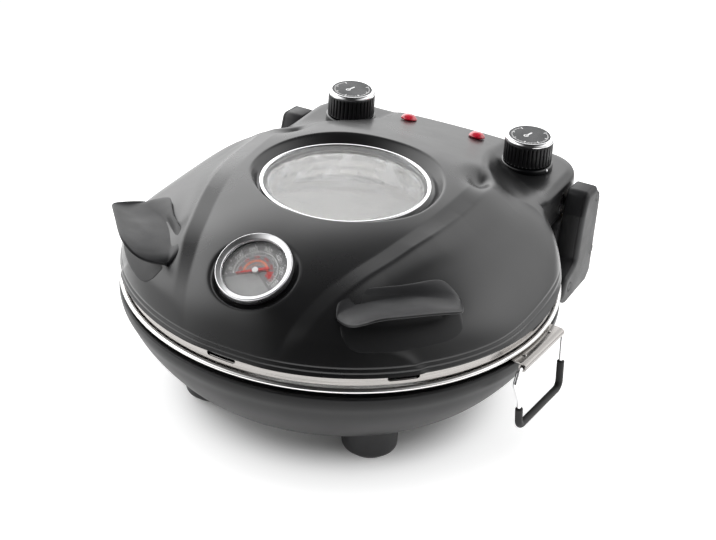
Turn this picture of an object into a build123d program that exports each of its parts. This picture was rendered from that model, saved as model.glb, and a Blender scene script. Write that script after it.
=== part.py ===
from build123d import *
import os
from math import sin, cos, tan, radians, degrees, atan2, hypot, sqrt, pi

os.makedirs("parts", exist_ok=True)

# ---------------------------------------------------------------------------
# Countertop pizza cooker with a hinged lid.  Millimetres, +Z up, front at -Y.
# Every point is first given about the centre of the round rim, then the whole
# model is moved by DY so that the middle of its bounding box is at Y = 0.
# ---------------------------------------------------------------------------

# driving dimensions ---------------------------------------------------------
DY = -18.0            # rim centre to middle of the bounding box

RIM_R = 172.0         # centre of the tray's rolled rim
RIM_TUBE = 1.6
RIM_Z = 98.9

BOWL_R = 174.0        # bowl, top edge
BOWL_TOP = 90.0
BOWL_T = 2.2
BOWL_BOTTOM = 19.0

FOOT_X, FOOT_Y = 70.5, 77.0
FOOT_R = 21.5
PAD_R = 16.5
PAD_H = 3.0

STONE_R, STONE_T = 149.5, 12.0
STONE_Z = 78.0

LID_R = 173.0         # lid shell, bottom edge
LID_Z = 110.2
LID_T = 2.2
BAND_R = 170.5        # steel band under the lid shell
BAND_Z0 = 102.0

REAR_HALF = 125.0     # rear housing of the lid, half width
REAR_Y = 210.0
REAR_Z0, REAR_Z1 = 112.6, 141.4
REAR_CORNER = 34.0

DECK_HALF = 52.0      # raised middle of the control deck
DECK_SLOPE = 0.297
SPINE_HALF = 60.0     # raised front panel that carries the gauge

WIN_R = 66.4          # window trim ring, outer radius
WIN_SEAT_Z = 170.5
WIN_TOP_Z = 175.6
GLASS_R = 64.2

GAUGE_C = (0.0, -137.6, 167.4)    # middle of the bezel's front face
GAUGE_TILT = 29.7                 # degrees, towards the front
GAUGE_R = 28.2

KNOB_X, KNOB_Y = 83.9, 170.8
KNOB_R = 20.5
KNOB_TOP = 169.4
KNOB_RIBS = 36
SHAFT_R = 3.0

LAMP_X, LAMP_Y = 32.5, 181.4

HINGE_Y, HINGE_Z = 180.0, 114.0
PIN_R = 4.0
PIN_CLEAR = 0.05
ARM_X0, ARM_X1 = 126.8, 146.0

TRAY_TURN = -5.5      # degrees that the round tray sits turned by
BAIL_U, BAIL_Z = 179.6, 92.6      # bail pivot: radius and height
BAIL_R = 1.5
BAIL_BOTTOM = 43.0
BAIL_HALF = 33.0
GRIP_R = 2.9

ELEMENT_R = 3.3
LOWER_ELEMENT_R, LOWER_ELEMENT_Z = 108.0, 66.0
UPPER_ELEMENT_R, UPPER_ELEMENT_Z = 112.0, 133.0


# helpers --------------------------------------------------------------------
def seg_edges(segs, x=None):
    out = []
    for kind, pts in segs:
        p = [(r, 0, z) for r, z in pts]
        if kind == "s":
            out.append(Spline(*p))
        else:
            for a, b in zip(p[:-1], p[1:]):
                out.append(Line(a, b))
    return out


def rev(*segs):
    """closed profile of (radius, z) runs, turned about the vertical axis"""
    f = make_face(seg_edges(segs))
    return revolve(f, axis=Axis.Z)


def ring(ro, ri, z0, z1, x=0.0, y=0.0):
    s = Pos(x, y, (z0 + z1) / 2) * Cylinder(ro, z1 - z0)
    if ri > 0:
        s = s - Pos(x, y, (z0 + z1) / 2) * Cylinder(ri, z1 - z0 + 2)
    return s


def ring_x(ro, ri, x0, x1, y, z):
    s = Pos((x0 + x1) / 2, y, z) * Rot(0, 90, 0) * Cylinder(ro, x1 - x0)
    if ri > 0:
        s = s - Pos((x0 + x1) / 2, y, z) * Rot(0, 90, 0) * Cylinder(ri, x1 - x0 + 2)
    return s


def block(x0, x1, y0, y1, z0, z1):
    return Pos((x0 + x1) / 2, (y0 + y1) / 2, (z0 + z1) / 2) * Box(x1 - x0, y1 - y0, z1 - z0)


def prism_x(pts, x0, x1):
    """(y, z) outline, extruded along X"""
    f = make_face([Line((x0, a[0], a[1]), (x0, b[0], b[1]))
                   for a, b in zip(pts, pts[1:] + pts[:1])])
    return extrude(f, amount=x1 - x0, dir=(1, 0, 0))


def inset(pts, t):
    """an open run of (r, z) points, from the foot upwards, moved inwards by t"""
    out = []
    for i, p in enumerate(pts):
        a = pts[max(i - 1, 0)]
        b = pts[min(i + 1, len(pts) - 1)]
        dx, dz = b[0] - a[0], b[1] - a[1]
        L = hypot(dx, dz)
        out.append((p[0] - dz / L * t, p[1] + dx / L * t))
    return out


def mir(s):
    return mirror(s, about=Plane.YZ)


def turn(s, a):
    return Rot(0, 0, a) * s


def save(name, *shapes):
    solids = []
    for s in shapes:
        solids += [x for x in s.solids() if x.volume > 0.05]
    moved = [Pos(0, DY, 0) * s for s in solids]
    obj = moved[0] if len(moved) == 1 else Compound(children=moved)
    obj.label = name
    export_step(obj, "parts/%s.step" % name)


def pair(name, s):
    """a right-hand piece and its mirror image"""
    save(name, s, mir(s))


# ---------------------------------------------------------------------------
# BASE
# ---------------------------------------------------------------------------
bowl_out = [(BOWL_R, 87.6), (173.2, 84.0), (170.6, 78.5), (166.8, 71.0), (161.8, 62.5),
            (155.4, 53.5), (146.6, 43.0), (135.2, 32.8), (122.0, 25.0), (110.0, 20.6), (102.0, BOWL_BOTTOM)]
bowl_in = [(103.0, BOWL_BOTTOM + BOWL_T), (110.0, 22.9), (121.0, 27.3), (133.4, 34.8), (144.6, 44.6),
           (153.2, 54.9), (159.4, 63.7), (164.4, 72.1), (168.2, 79.5), (170.6, 84.6), (171.3, 87.6)]
bowl_skin = rev(("s", bowl_out),
                ("l", [(102.0, BOWL_BOTTOM), (92.0, BOWL_BOTTOM), (92.0, BOWL_BOTTOM + BOWL_T),
                       (103.0, BOWL_BOTTOM + BOWL_T)]),
                ("s", bowl_in),
                ("l", [(171.3, 87.6), (156.5, 87.6), (156.5, BOWL_TOP), (172.8, BOWL_TOP),
                       (BOWL_R, 88.9), (BOWL_R, 87.6)]))
bowl_solid = rev(("s", bowl_out),
                 ("l", [(102.0, BOWL_BOTTOM), (0, BOWL_BOTTOM), (0, BOWL_TOP), (172.8, BOWL_TOP),
                        (BOWL_R, 88.9), (BOWL_R, 87.6)]))

GLAND_Z = 40.0
gland_axis = Pos(0, 150, GLAND_Z) * Rot(90, 0, 0)
bottom_angles = (0, 90, 180, 270)
bottom_pts = [(96.6 * cos(radians(a)), 96.6 * sin(radians(a))) for a in bottom_angles]
bowl = bowl_skin - gland_axis * Cylinder(8.0, 60)
for bx, by in bottom_pts:
    bowl = bowl - ring(1.4, 0, 18, 22, bx, by)
foot_screw_pts = [(sx * FOOT_X, sy * FOOT_Y) for sx in (1, -1) for sy in (1, -1)]
for fx, fy in foot_screw_pts:
    bowl = bowl - ring(2.0, 0, 17, 30, fx * 1.03, fy * 1.03)
save("base_bowl", bowl)

plate = ring(99.6, 0, 17.4, BOWL_BOTTOM)
for bx, by in bottom_pts:
    plate = plate - ring(1.6, 0, 17, 20, bx, by)
for fx, fy in foot_screw_pts:
    plate = plate - ring(FOOT_R + 0.4, 0, 17, 20, fx, fy)
save("base_bottom_plate", plate)
save("base_bottom_screws", *[ring(3.0, 0, 15.8, 17.4, bx, by) + ring(1.4, 0, 17.2, 22.6, bx, by)
                             for bx, by in bottom_pts])

# feet: a moulded leg trimmed to the bowl, a rubber pad let into its sole
legs = []
for fx, fy in foot_screw_pts:
    leg = Pos(fx, fy, 0) * (Pos(0, 0, 18.5) * Cylinder(FOOT_R, 31.0))
    leg = leg - bowl_solid
    leg = leg - ring(2.0, 0, 8, 40, fx * 1.03, fy * 1.03)
    legs.append(leg)
save("feet", *legs)
save("foot_pads", *[ring(PAD_R, 0, 0, PAD_H, fx, fy) for fx, fy in foot_screw_pts])
save("foot_screws", *[ring(2.0, 0, 8.0, 26.0, fx * 1.03, fy * 1.03)
                      + ring(4.0, 0, 26.0, 28.4, fx * 1.03, fy * 1.03) for fx, fy in foot_screw_pts])

# black collar that carries the tray, riveted to the bowl's inner flange
collar = ring(166.0, 163.0, BOWL_TOP, 96.2)
save("rim_collar", collar)
save("collar_rivets", *[turn(Pos(166.0, 0, 93.4) * Rot(0, 90, 0) * Cylinder(1.5, 1.6)
                             - ring(166.0, 0, 80, 100), a) for a in range(-16, 344, 45)])

# reflector pan under the tray
PAN_Z = 52.0
pan = rev(("l", [(162.6, 90.0), (162.6, 91.0), (155.2, 91.0), (155.2, 88.0)]),
          ("s", [(155.2, 88.0), (154.4, 76.0), (151.2, 64.0), (143.6, 56.2), (134.0, PAN_Z + 1.0)]),
          ("l", [(134.0, PAN_Z + 1.0), (0, PAN_Z + 1.0), (0, PAN_Z), (134.2, PAN_Z)]),
          ("s", [(134.2, PAN_Z), (144.8, 55.1), (152.5, 63.6), (155.7, 76.0), (156.3, 88.0)]),
          ("l", [(156.3, 88.0), (156.3, 90.0), (162.6, 90.0)]))
pan_holes = [(9.0, LOWER_ELEMENT_R), (-9.0, LOWER_ELEMENT_R)]
for hx, hy in pan_holes:
    pan = pan - ring(4.2, 0, 50, 55, hx, hy)
save("base_reflector_pan", pan)


def element(major, z, tip):
    """open ring of tubular heater with two terminals at the rear"""
    gap = degrees(atan2(9.0, major))
    s = Pos(0, 0, z) * Rot(0, 0, 90 + gap) * Torus(major, ELEMENT_R, major_angle=360 - 2 * gap)
    y = major * cos(radians(gap))
    for sx in (1, -1):
        s = s + ring(ELEMENT_R + 0.1, 0, min(z - 3.5, tip), max(z + 3.5, tip), sx * 9.0, y)
    return s


save("lower_heating_element", element(LOWER_ELEMENT_R, LOWER_ELEMENT_Z, 40.0))
clips = []
for a in (30, 150, 270):
    c = turn(block(LOWER_ELEMENT_R - 6, LOWER_ELEMENT_R + 6, -5, 5, PAN_Z + 1.0, LOWER_ELEMENT_Z + 1.0), a)
    c = c - Pos(0, 0, LOWER_ELEMENT_Z) * Torus(LOWER_ELEMENT_R, ELEMENT_R)
    c = c - ring(200, LOWER_ELEMENT_R + 6.5, 50, 80)
    clips.append(c)
save("lower_element_clips", *clips)
save("thermal_cutout", ring(9.0, 0, 44.0, PAN_Z, 40.0, 60.0) + ring(12.5, 0, 50.6, PAN_Z, 40.0, 60.0))
save("base_terminal_block", block(-22, 22, 96, 110, 24.6, 36.0))

# gland in the rear of the bowl, where the mains lead leaves
gland = (Pos(0, 0, GLAND_Z) * Rot(-90, 0, 0)
         * (Pos(0, 0, 142.0) * Cylinder(8.0, 24.0) + Pos(0, 0, 155.5) * Cylinder(11.5, 3.0)))
gland = gland + Pos(0, 0, GLAND_Z) * Rot(-90, 0, 0) * (Pos(0, 0, 132.0) * Cylinder(9.8, 4.0))
gland = gland - Pos(0, 0, GLAND_Z) * Rot(-90, 0, 0) * (Pos(0, 0, 153.0) * Cylinder(3.8, 12.0))
gland = gland - (bowl_skin - gland_axis * Cylinder(8.0, 60))
save("cord_gland", *[s for s in gland.solids() if s.volume > 300])

# stone tray with a rolled rim, and the stone on it
tray = rev(("l", [(154.4, 96.2), (171.4, 96.2), (171.4, 97.2), (153.4, 97.2)]),
           ("s", [(153.4, 97.2), (153.2, 90.0), (152.8, 82.0), (151.4, STONE_Z)]),
           ("l", [(151.4, STONE_Z), (0, STONE_Z), (0, STONE_Z - 1.0), (151.8, STONE_Z - 1.0)]),
           ("s", [(151.8, STONE_Z - 1.0), (153.8, 81.8), (154.2, 90.0), (154.4, 96.2)]))
rim = Pos(0, 0, RIM_Z) * Torus(RIM_R, RIM_TUBE)
tray = tray + (ring(RIM_R, RIM_R - 1.6, 96.2, RIM_Z)) + rim
save("stone_tray", turn(tray, TRAY_TURN))
save("pizza_stone", ring(STONE_R, 0, STONE_Z, STONE_Z + STONE_T))


def at_tray(s, side):
    return turn(s, TRAY_TURN + (0 if side == "right" else 180))


barrel = (Pos(BAIL_U, 0, BAIL_Z) * Rot(90, 0, 0) * Cylinder(3.2, 62.0))
bracket = barrel + block(167.4, BAIL_U, -31, 31, 95.0, 96.2)
bracket = bracket - Pos(BAIL_U, 0, BAIL_Z) * Rot(90, 0, 0) * Cylinder(BAIL_R + PIN_CLEAR, 80.0)

wire_pts = [(BAIL_U, 12, BAIL_Z), (BAIL_U, BAIL_HALF + 3.0, BAIL_Z), (BAIL_U + 0.4, BAIL_HALF + 2.4, 82.0),
            (183.2, BAIL_HALF, BAIL_BOTTOM), (183.2, -BAIL_HALF, BAIL_BOTTOM),
            (182.2, -BAIL_HALF - 2.0, 66.0), (180.2, -BAIL_HALF - 9.5, 84.5), (BAIL_U, -BAIL_HALF - 4.0, BAIL_Z),
            (BAIL_U, -12, BAIL_Z)]
wire_path = FilletPolyline(*wire_pts, radius=[3.0, 9.0, 6.0, 6.0, 14.0, 5.0, 3.5])
wire_face = Plane(origin=wire_pts[0], z_dir=(0, 1, 0)) * Circle(BAIL_R)
bail = sweep(wire_face, path=wire_path)

g0 = Vector(*wire_pts[2])
g1 = Vector(*wire_pts[3])
gs = g1 + (g0 - g1).normalized() * 23.0
g2 = Vector(*wire_pts[4])
g3 = Vector(*wire_pts[5])
ge = g2 + (g3 - g2).normalized() * 17.5
grip_path = FilletPolyline((gs.X, gs.Y, gs.Z), wire_pts[3], wire_pts[4], (ge.X, ge.Y, ge.Z), radius=[6.0, 6.0])
grip_dir = (g1 - gs).normalized()
grip_face = Plane(origin=(gs.X, gs.Y, gs.Z), z_dir=(grip_dir.X, grip_dir.Y, grip_dir.Z)) * Circle(GRIP_R)
grip = sweep(grip_face, path=grip_path) - bail
save("tray_brackets", at_tray(bracket, "right"), at_tray(bracket, "left"))
for side in ("right", "left"):
    save("bail_wire_" + side, at_tray(bail, side))
    save("bail_grip_" + side, at_tray(grip, side))

# hinge arms, one each side of the lid's rear housing
arm_pts = [(151.0, 117.0), (157.5, 136.6), (180.0, 134.6), (192.0, 122.0), (191.0, 49.0), (181.0, 41.4),
           (133.0, 43.0), (120.5, 53.0), (127.0, 70.0), (147.0, 76.5)]


def arm_plate(x0, x1, d=0.0):
    p = [(x0, y, z) for y, z in arm_pts]
    w = FilletPolyline(*p, radius=6.0, close=True)
    f = make_face(w.edges())
    return extrude(f, amount=x1 - x0, dir=(1, 0, 0))


COVER_X = 142.6
arm = arm_plate(ARM_X0, COVER_X)
arm = arm - ring_x(PIN_R, 0, ARM_X0 - 1, COVER_X + 1, HINGE_Y, HINGE_Z)
cover = arm_plate(COVER_X, ARM_X1)
cover_screw_pts = [(181.5, 124.0), (184.0, 72.0), (136.5, 58.5)]
for cy, cz in cover_screw_pts:
    cover = cover - ring_x(3.2, 0, ARM_X1 - 1.6, ARM_X1 + 1, cy, cz)
    cover = cover - ring_x(1.5, 0, COVER_X - 1, ARM_X1 + 1, cy, cz)
    arm = arm - ring_x(1.5, 0, COVER_X - 8, COVER_X + 1, cy, cz)
pair("hinge_arms", arm)
pair("hinge_arm_covers", cover)
cs = []
for cy, cz in cover_screw_pts:
    s = ring_x(3.0, 0, ARM_X1 - 1.6, ARM_X1 - 0.5, cy, cz) + ring_x(1.5, 0, COVER_X - 8, ARM_X1 - 1.4, cy, cz)
    s = s - block(ARM_X1 - 0.9, ARM_X1, cy - 2.2, cy + 2.2, cz - 0.4, cz + 0.4)
    cs += [s, mir(s)]
save("hinge_cover_screws", *cs)

bracket_b = block(84.0, ARM_X0, 132.0, 164.0, 58.0, 92.0) - bowl_solid
bracket_b = bracket_b - ring(176.5, 0, 84.0, 110.0)
bracket_b = Part() + [s for s in bracket_b.solids() if s.volume > 2000]
pair("hinge_base_brackets", bracket_b)
pair("hinge_pins", ring_x(PIN_R, 0, 110.0, COVER_X, HINGE_Y, HINGE_Z) - ring_x(6, 3.2, 110.9, 112.1, HINGE_Y, HINGE_Z))
save("hinge_retaining_clips", ring_x(6.4, 3.2, 110.9, 112.1, HINGE_Y, HINGE_Z),
     mir(ring_x(6.4, 3.2, 110.9, 112.1, HINGE_Y, HINGE_Z)))

# ---------------------------------------------------------------------------
# LID
# ---------------------------------------------------------------------------
dome = [(LID_R, LID_Z), (172.5, 113.0), (171.4, 118.0), (169.8, 124.0), (167.6, 130.4), (164.4, 136.8),
        (160.0, 143.0), (154.0, 148.4), (146.6, 153.0), (138.0, 157.2), (128.5, 162.2), (119.0, 167.4),
        (109.5, 172.4), (100.0, 176.8), (91.5, 179.8), (84.0, 180.9), (76.0, 181.0)]
side = [(176.0, 104.0), (172.6, 110.2), (167.6, 118.0), (161.0, 126.0), (154.4, 133.6), (146.0, 141.6),
        (136.0, 149.4), (124.8, 156.4), (115.0, 162.8), (106.5, 169.4), (98.0, 176.0), (90.0, 180.8), (80.0, 184.0)]
spine = [(LID_R, LID_Z), (171.9, 116.0), (170.2, 124.0), (168.2, 133.0), (165.8, 141.5), (162.0, 149.6),
         (155.6, 156.4), (147.4, 161.8), (138.0, 166.9), (127.0, 172.6), (116.0, 177.4), (105.0, 180.4),
         (94.0, 181.4), (76.0, 181.4)]


def dome_body(p, zlow):
    return rev(("l", [p[0], (p[0][0], zlow), (0, zlow), (0, p[-1][1]), p[-1]]), ("s", p[::-1])) \
        if p[0][1] != zlow else rev(("l", [p[0], (0, zlow), (0, p[-1][1]), p[-1]]), ("s", p[::-1]))


def side_body(p, y0=-200.0, y1=230.0):
    r = Spline(*[(x, y0, z) for x, z in p])
    l = Spline(*[(-x, y0, z) for x, z in p])
    top = Line((p[-1][0], y0, p[-1][1]), (-p[-1][0], y0, p[-1][1]))
    lo = [(p[0][0], y0, p[0][1]), (p[0][0], y0, 90.0), (-p[0][0], y0, 90.0), (-p[0][0], y0, p[0][1])]
    f = make_face([r, l, top] + [Line(a, b) for a, b in zip(lo[:-1], lo[1:])])
    return extrude(f, amount=y1 - y0, dir=(0, 1, 0))


def rear_box(d, z0, z1, top_fillet):
    b = block(-REAR_HALF + d, REAR_HALF - d, 60.0, REAR_Y - d, z0, z1)
    b = fillet(b.edges().filter_by(Axis.Z).group_by(Axis.Y)[-1], REAR_CORNER - d)
    if top_fillet > 0:
        es = [e for e in b.faces().sort_by(Axis.Z)[-1].edges() if e.center().Y > 61.0]
        b = fillet(es, top_fillet)
    return b


def deck(d, z0):
    y0, y1 = 58.0, 206.0 - d
    def zt(y):
        return 180.3 - DECK_SLOPE * (y - 76.0) - 1.043 * d
    return prism_x([(y0, z0), (y0, zt(76.0)), (76.0, zt(76.0)), (y1 - 2.0, zt(y1 - 2.0)), (y1, zt(y1) - 2.0), (y1, z0)],
                   -DECK_HALF + d, DECK_HALF - d)


t = LID_T
outer = (dome_body(dome, LID_Z) & side_body(side))
outer = outer + (dome_body(spine, LID_Z) & block(-SPINE_HALF, SPINE_HALF, -180, -40, 100, 200))
outer = outer + rear_box(0.0, REAR_Z0, REAR_Z1, 9.0)
outer = outer + deck(0.0, 125.0)

inner = (dome_body([(x, z) for x, z in inset(dome, t)], 100.0) & side_body(inset(side, t)))
inner = inner + (dome_body(inset(spine, t), 100.0) & block(-SPINE_HALF + t, SPINE_HALF - t, -180, -42, 90, 200))
inner = inner + rear_box(t, 100.0, REAR_Z1 - t, 7.0)
inner = inner + deck(t, 120.0)

recess = rev(("l", [(0, WIN_SEAT_Z), (68.2, WIN_SEAT_Z), (71.0, 173.0), (76.5, 181.0), (76.5, 200.0), (0, 200.0), (0, WIN_SEAT_Z)]))
recess_out = rev(("l", [(0, WIN_SEAT_Z - t), (69.6, WIN_SEAT_Z - t), (73.0, 172.0), (79.4, 181.0), (79.4, 200.0), (0, 200.0),
                        (0, WIN_SEAT_Z - t)]))

ga = radians(GAUGE_TILT)
gplane = Plane(origin=GAUGE_C, x_dir=(1, 0, 0), z_dir=(0, -sin(ga), cos(ga)))


def at_gauge(s):
    return gplane.location * s


def gcyl(ro, ri, z0, z1):
    s = Pos(0, 0, (z0 + z1) / 2) * Cylinder(ro, z1 - z0)
    if ri > 0:
        s = s - Pos(0, 0, (z0 + z1) / 2) * Cylinder(ri, z1 - z0 + 2)
    return s


POCKET_R, POCKET_D = 32.0, 9.0
outer = outer - recess - at_gauge(gcyl(POCKET_R, 0, -POCKET_D, 40))
inner = inner - recess_out - at_gauge(gcyl(POCKET_R + t, 0, -POCKET_D - t, 40))

shell = outer - inner
shell = shell - ring(60.0, 0, 160, 185)
shell = shell - at_gauge(gcyl(6.2, 0, -20, 0))
for sx in (1, -1):
    shell = shell - ring(5.2, 0, 130, 150, sx * KNOB_X, KNOB_Y)
    shell = shell - (ring_x(8.6, 0, 110, 128, HINGE_Y, HINGE_Z) if sx > 0 else mir(ring_x(8.6, 0, 110, 128, HINGE_Y, HINGE_Z)))

dn = Vector(0, DECK_SLOPE, 1).normalized()
lamp_z = 180.3 - DECK_SLOPE * (LAMP_Y - 76.0)


def at_lamp(s, sx):
    return Plane(origin=(sx * LAMP_X, LAMP_Y, lamp_z), x_dir=(1, 0, 0), z_dir=(dn.X, dn.Y, dn.Z)).location * s


for sx in (1, -1):
    shell = shell - at_lamp(gcyl(4.5, 0, -10, 10), sx)

# handles: a pad that follows the dome, with a lip that flares outwards
HANDLE_AZ = 46.9                       # degrees round from the front
hu = (sin(radians(HANDLE_AZ)), -cos(radians(HANDLE_AZ)))


def at_handle(u, tt, z):
    """u outwards, tt towards the rear along the handle"""
    return (u * hu[0] + tt * -hu[1], u * hu[1] + tt * hu[0], z)


def handle_prism(pts, t0, t1):
    p = [at_handle(u, t0, z) for u, z in pts]
    f = make_face([Line(a, b) for a, b in zip(p, p[1:] + p[:1])])
    d = (-hu[1], hu[0], 0)
    return extrude(f, amount=t1 - t0, dir=d)


solid_outer = (dome_body(dome, LID_Z) & side_body(side))
solid_outer = solid_outer + (dome_body(spine, LID_Z) & block(-SPINE_HALF, SPINE_HALF, -180, -40, 100, 200))
pad_out = [(x, z) for x, z in inset(dome, -3.4)][3:13]
pad = rev(("l", [(pad_out[0][0], pad_out[0][1]), (100, pad_out[0][1]), (100, pad_out[-1][1]), pad_out[-1]]), ("s", pad_out[::-1]))
pad = pad & handle_prism([(120, 127.0), (185, 127.0), (185, 160.8), (120, 160.8)], -54.0, 34.0)
lip = handle_prism([(128.0, 150.0), (131.5, 160.8), (136.5, 163.0), (141.5, 161.5), (148.0, 157.0), (156.0, 155.4),
                    (165.0, 156.8), (172.0, 159.6), (177.0, 162.8), (178.4, 161.8), (176.0, 157.4),
                    (171.6, 151.6), (167.6, 146.4), (160.0, 140.0), (140.0, 140.0)], -45.0, 29.0)
lip = lip & (ring(181.5, 0, 100, 200))
handle = (pad + lip) - solid_outer
handle = Part() + [s for s in handle.solids() if s.volume > 3000]

# two screws hold each handle from inside the shell
screw_pts = []
for tt in (-30.0, 14.0):
    uu = sqrt(152.0 ** 2 - tt ** 2)
    screw_pts.append(at_handle(uu, tt, 149.5))
an = radians(42.0)
hs = []
for p in screw_pts:
    L = hypot(p[0], p[1])
    n = Vector(p[0] / L * cos(an), p[1] / L * cos(an), sin(an))
    pl = Plane(origin=p, z_dir=(n.X, n.Y, n.Z))
    hole = pl.location * gcyl(1.6, 0, -14.0, 3.6)
    shell = shell - hole - mir(hole)
    handle = handle - hole
    body = pl.location * (gcyl(1.6, 0, -5.0, 3.4))
    head = pl.location * (gcyl(3.6, 0, -9.0, -5.0))
    hs += [body + head, mir(body + head)]

shell = Part() + [s for s in shell.solids() if s.volume > 3000]
save("lid_shell", shell)
pair("lid_handles", handle)
save("handle_screws", *hs)

# underside cover of the rear housing
rc = rear_box(t, REAR_Z0, REAR_Z0 + 2.0, 0.0) - ring(171.6, 0, 100, 130) - block(-130, 130, 50, 118, 100, 130)
for sx in (1, -1):
    c = ring_x(8.6, 0, 110, 128, HINGE_Y, HINGE_Z)
    rc = rc - (c if sx > 0 else mir(c))
save("lid_rear_cover", *[s for s in rc.solids() if s.volume > 500])

# steel band round the foot of the lid, with its vent slots
band = ring(BAND_R, BAND_R - 1.2, BAND_Z0, 110.0)
for k in range(8):
    band = band - turn(block(150, 180, -11.0, 11.0, 105.6, 108.4), -92.0 + 45.0 * k)
save("lid_rim_band", band)

# inner reflector of the lid
refl_o = [(157.6, 105.2), (156.4, 112.0), (152.6, 121.0), (145.0, 130.6), (134.0, 138.4), (119.0, 144.2), (100.0, 148.2), (80.0, 150.2), (61.0, 150.8)]
refl_i = [(x, z) for x, z in inset(refl_o, 1.0)]
refl = rev(("l", [(157.6, 105.2), (BAND_R - 1.2, 105.2), (BAND_R - 1.2, 104.2), refl_i[0]]),
           ("s", refl_i), ("l", [refl_i[-1], refl_o[-1]]), ("s", refl_o[::-1]))
ey = UPPER_ELEMENT_R * cos(atan2(9.0, UPPER_ELEMENT_R))
for sx in (1, -1):
    refl = refl - ring(4.4, 0, 130, 160, sx * 9.0, ey)
refl = refl - at_gauge(gcyl(4.6, 0, -70, -10))
save("lid_reflector", refl)
save("window_tunnel", ring(61.0, 60.0, 150.2, WIN_SEAT_Z - t) - refl)

save("upper_heating_element", element(UPPER_ELEMENT_R, UPPER_ELEMENT_Z, 156.0))
uc = []
for a in (10, 130, 250):
    c = turn(block(UPPER_ELEMENT_R - 5, UPPER_ELEMENT_R + 5, -5, 5, UPPER_ELEMENT_Z - 1.0, 150.0), a)
    c = c - Pos(0, 0, UPPER_ELEMENT_Z) * Torus(UPPER_ELEMENT_R, ELEMENT_R)
    c = c & rev(("l", [(0, 120.0), (157.6, 105.2)]), ("l", [(157.6, 105.2), refl_i[0]]), ("s", refl_i),
                ("l", [refl_i[-1], (0, refl_i[-1][1]), (0, 120.0)]))
    uc.append(c)
save("upper_element_clips", *uc)

# window
save("window_gasket", ring(66.0, 60.6, WIN_SEAT_Z, WIN_SEAT_Z + 1.0))
save("window_glass", ring(GLASS_R, 0, WIN_SEAT_Z + 1.0, WIN_SEAT_Z + 4.2))
trim = ring(WIN_R, 66.0, WIN_SEAT_Z, WIN_SEAT_Z + 1.0) + ring(WIN_R, GLASS_R, WIN_SEAT_Z + 1.0, WIN_SEAT_Z + 4.2)
trim = trim + ring(WIN_R, 63.2, WIN_SEAT_Z + 4.2, WIN_TOP_Z)
save("window_trim_ring", trim)

# thermometer gauge
save("gauge_case", at_gauge(gcyl(26.4, 0, -9.0, -7.4) + gcyl(26.4, 25.0, -9.0, -2.6) + gcyl(6.0, 0, -17.0, -9.0)
                            - gcyl(0.85, 0, -9.0, -7.0)))
nut = Pos(0, 0, -14.2) * extrude(RegularPolygon(9.4, 6), 3.0) - gcyl(6.0, 0, -20, -5)
save("gauge_nut", at_gauge(nut))
save("gauge_probe", at_gauge(gcyl(2.4, 0, -34.0, -17.0)))
save("gauge_dial", at_gauge(gcyl(24.8, 1.3, -7.4, -6.9)))
pointer = gcyl(2.3, 0, -6.0, -4.4) + gcyl(0.8, 0, -8.8, -5.9)
pointer = pointer + Pos(7.0, 0, -5.4) * Box(15.0, 1.1, 0.6) + Pos(-5.5, 0, -5.4) * Box(10.0, 2.6, 0.6)
POINTER_REST = 208.0      # tip at the cold end of the scale, lower left
save("gauge_pointer", at_gauge(Rot(0, 0, POINTER_REST) * pointer))
save("gauge_lens", at_gauge(gcyl(26.3, 0, -2.6, -1.6)))
save("gauge_bezel", at_gauge(gcyl(GAUGE_R, 26.4, -6.4, -1.6) + gcyl(GAUGE_R, 23.6, -1.6, 0.0)))

# knobs
SKIRT_TOP = REAR_Z1 + 4.6
KNOB_BASE = SKIRT_TOP + 0.6
knob = ring(KNOB_R - 0.9, 0, KNOB_BASE, 165.4, 0, 0)
for k in range(KNOB_RIBS):
    knob = knob + turn(block(KNOB_R - 3.0, KNOB_R, -0.9, 0.9, KNOB_BASE + 1.0, 164.6), 360.0 / KNOB_RIBS * k)
knob = knob - ring(SHAFT_R, 0, 100, 158.0)
knob = knob + ring(KNOB_R - 0.9, SHAFT_R, KNOB_BASE, KNOB_BASE + 1.0)
cap_ring = ring(20.2, 17.5, 165.4, 168.9)
cap_disc = ring(17.5, 0, 165.4, KNOB_TOP)
skirt = ring(21.9, 5.4, REAR_Z1, SKIRT_TOP)
skirt = fillet(skirt.edges().group_by(Axis.Z)[-1].sort_by(SortBy.LENGTH)[-1], 1.2)
stat = block(-17, 17, -13, 13, 121.0, 136.6) + ring(5.0, 0, 136.6, REAR_Z1 + 4.0)
stat = stat - ring(SHAFT_R + PIN_CLEAR, 0, 126.0, 160.0)
shaft = ring(SHAFT_R, 0, 127.0, 158.0)
dot_az = radians(-20.0)
dot = Pos(21.3 * cos(dot_az), 21.3 * sin(dot_az), REAR_Z1 + 2.6) * Sphere(1.7)
dot = dot - skirt
for sx, side_name in ((1, "right"), (-1, "left")):
    P = Pos(sx * KNOB_X, KNOB_Y, 0)
    save("knob_body_" + side_name, P * knob)
    save("knob_cap_ring_" + side_name, P * cap_ring)
    save("knob_cap_disc_" + side_name, P * cap_disc)
    save("knob_shaft_" + side_name, P * shaft)
save("knob_skirts", *[Pos(sx * KNOB_X, KNOB_Y, 0) * skirt for sx in (1, -1)])
save("thermostats", *[Pos(sx * KNOB_X, KNOB_Y, 0) * stat for sx in (1, -1)])
save("knob_index_dots", *[Pos(sx * KNOB_X, KNOB_Y, 0) * dot for sx in (1, -1)])

# indicator lamps
lens_pts = [(7.2, 0.0), (7.0, 1.7), (5.7, 3.6), (3.0, 4.7), (0.0, 5.0)]
lens = rev(("l", [(0, 0), (7.2, 0)]), ("s", lens_pts), ("l", [(0, 5.0), (0, 0)])) + gcyl(4.3, 0, -7.0, 0.0)
save("lamp_lenses", *[at_lamp(lens, sx) for sx in (1, -1)])
save("lamp_holders", *[at_lamp(gcyl(5.6, 0, -20.0, -7.0), sx) for sx in (1, -1)])

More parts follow.
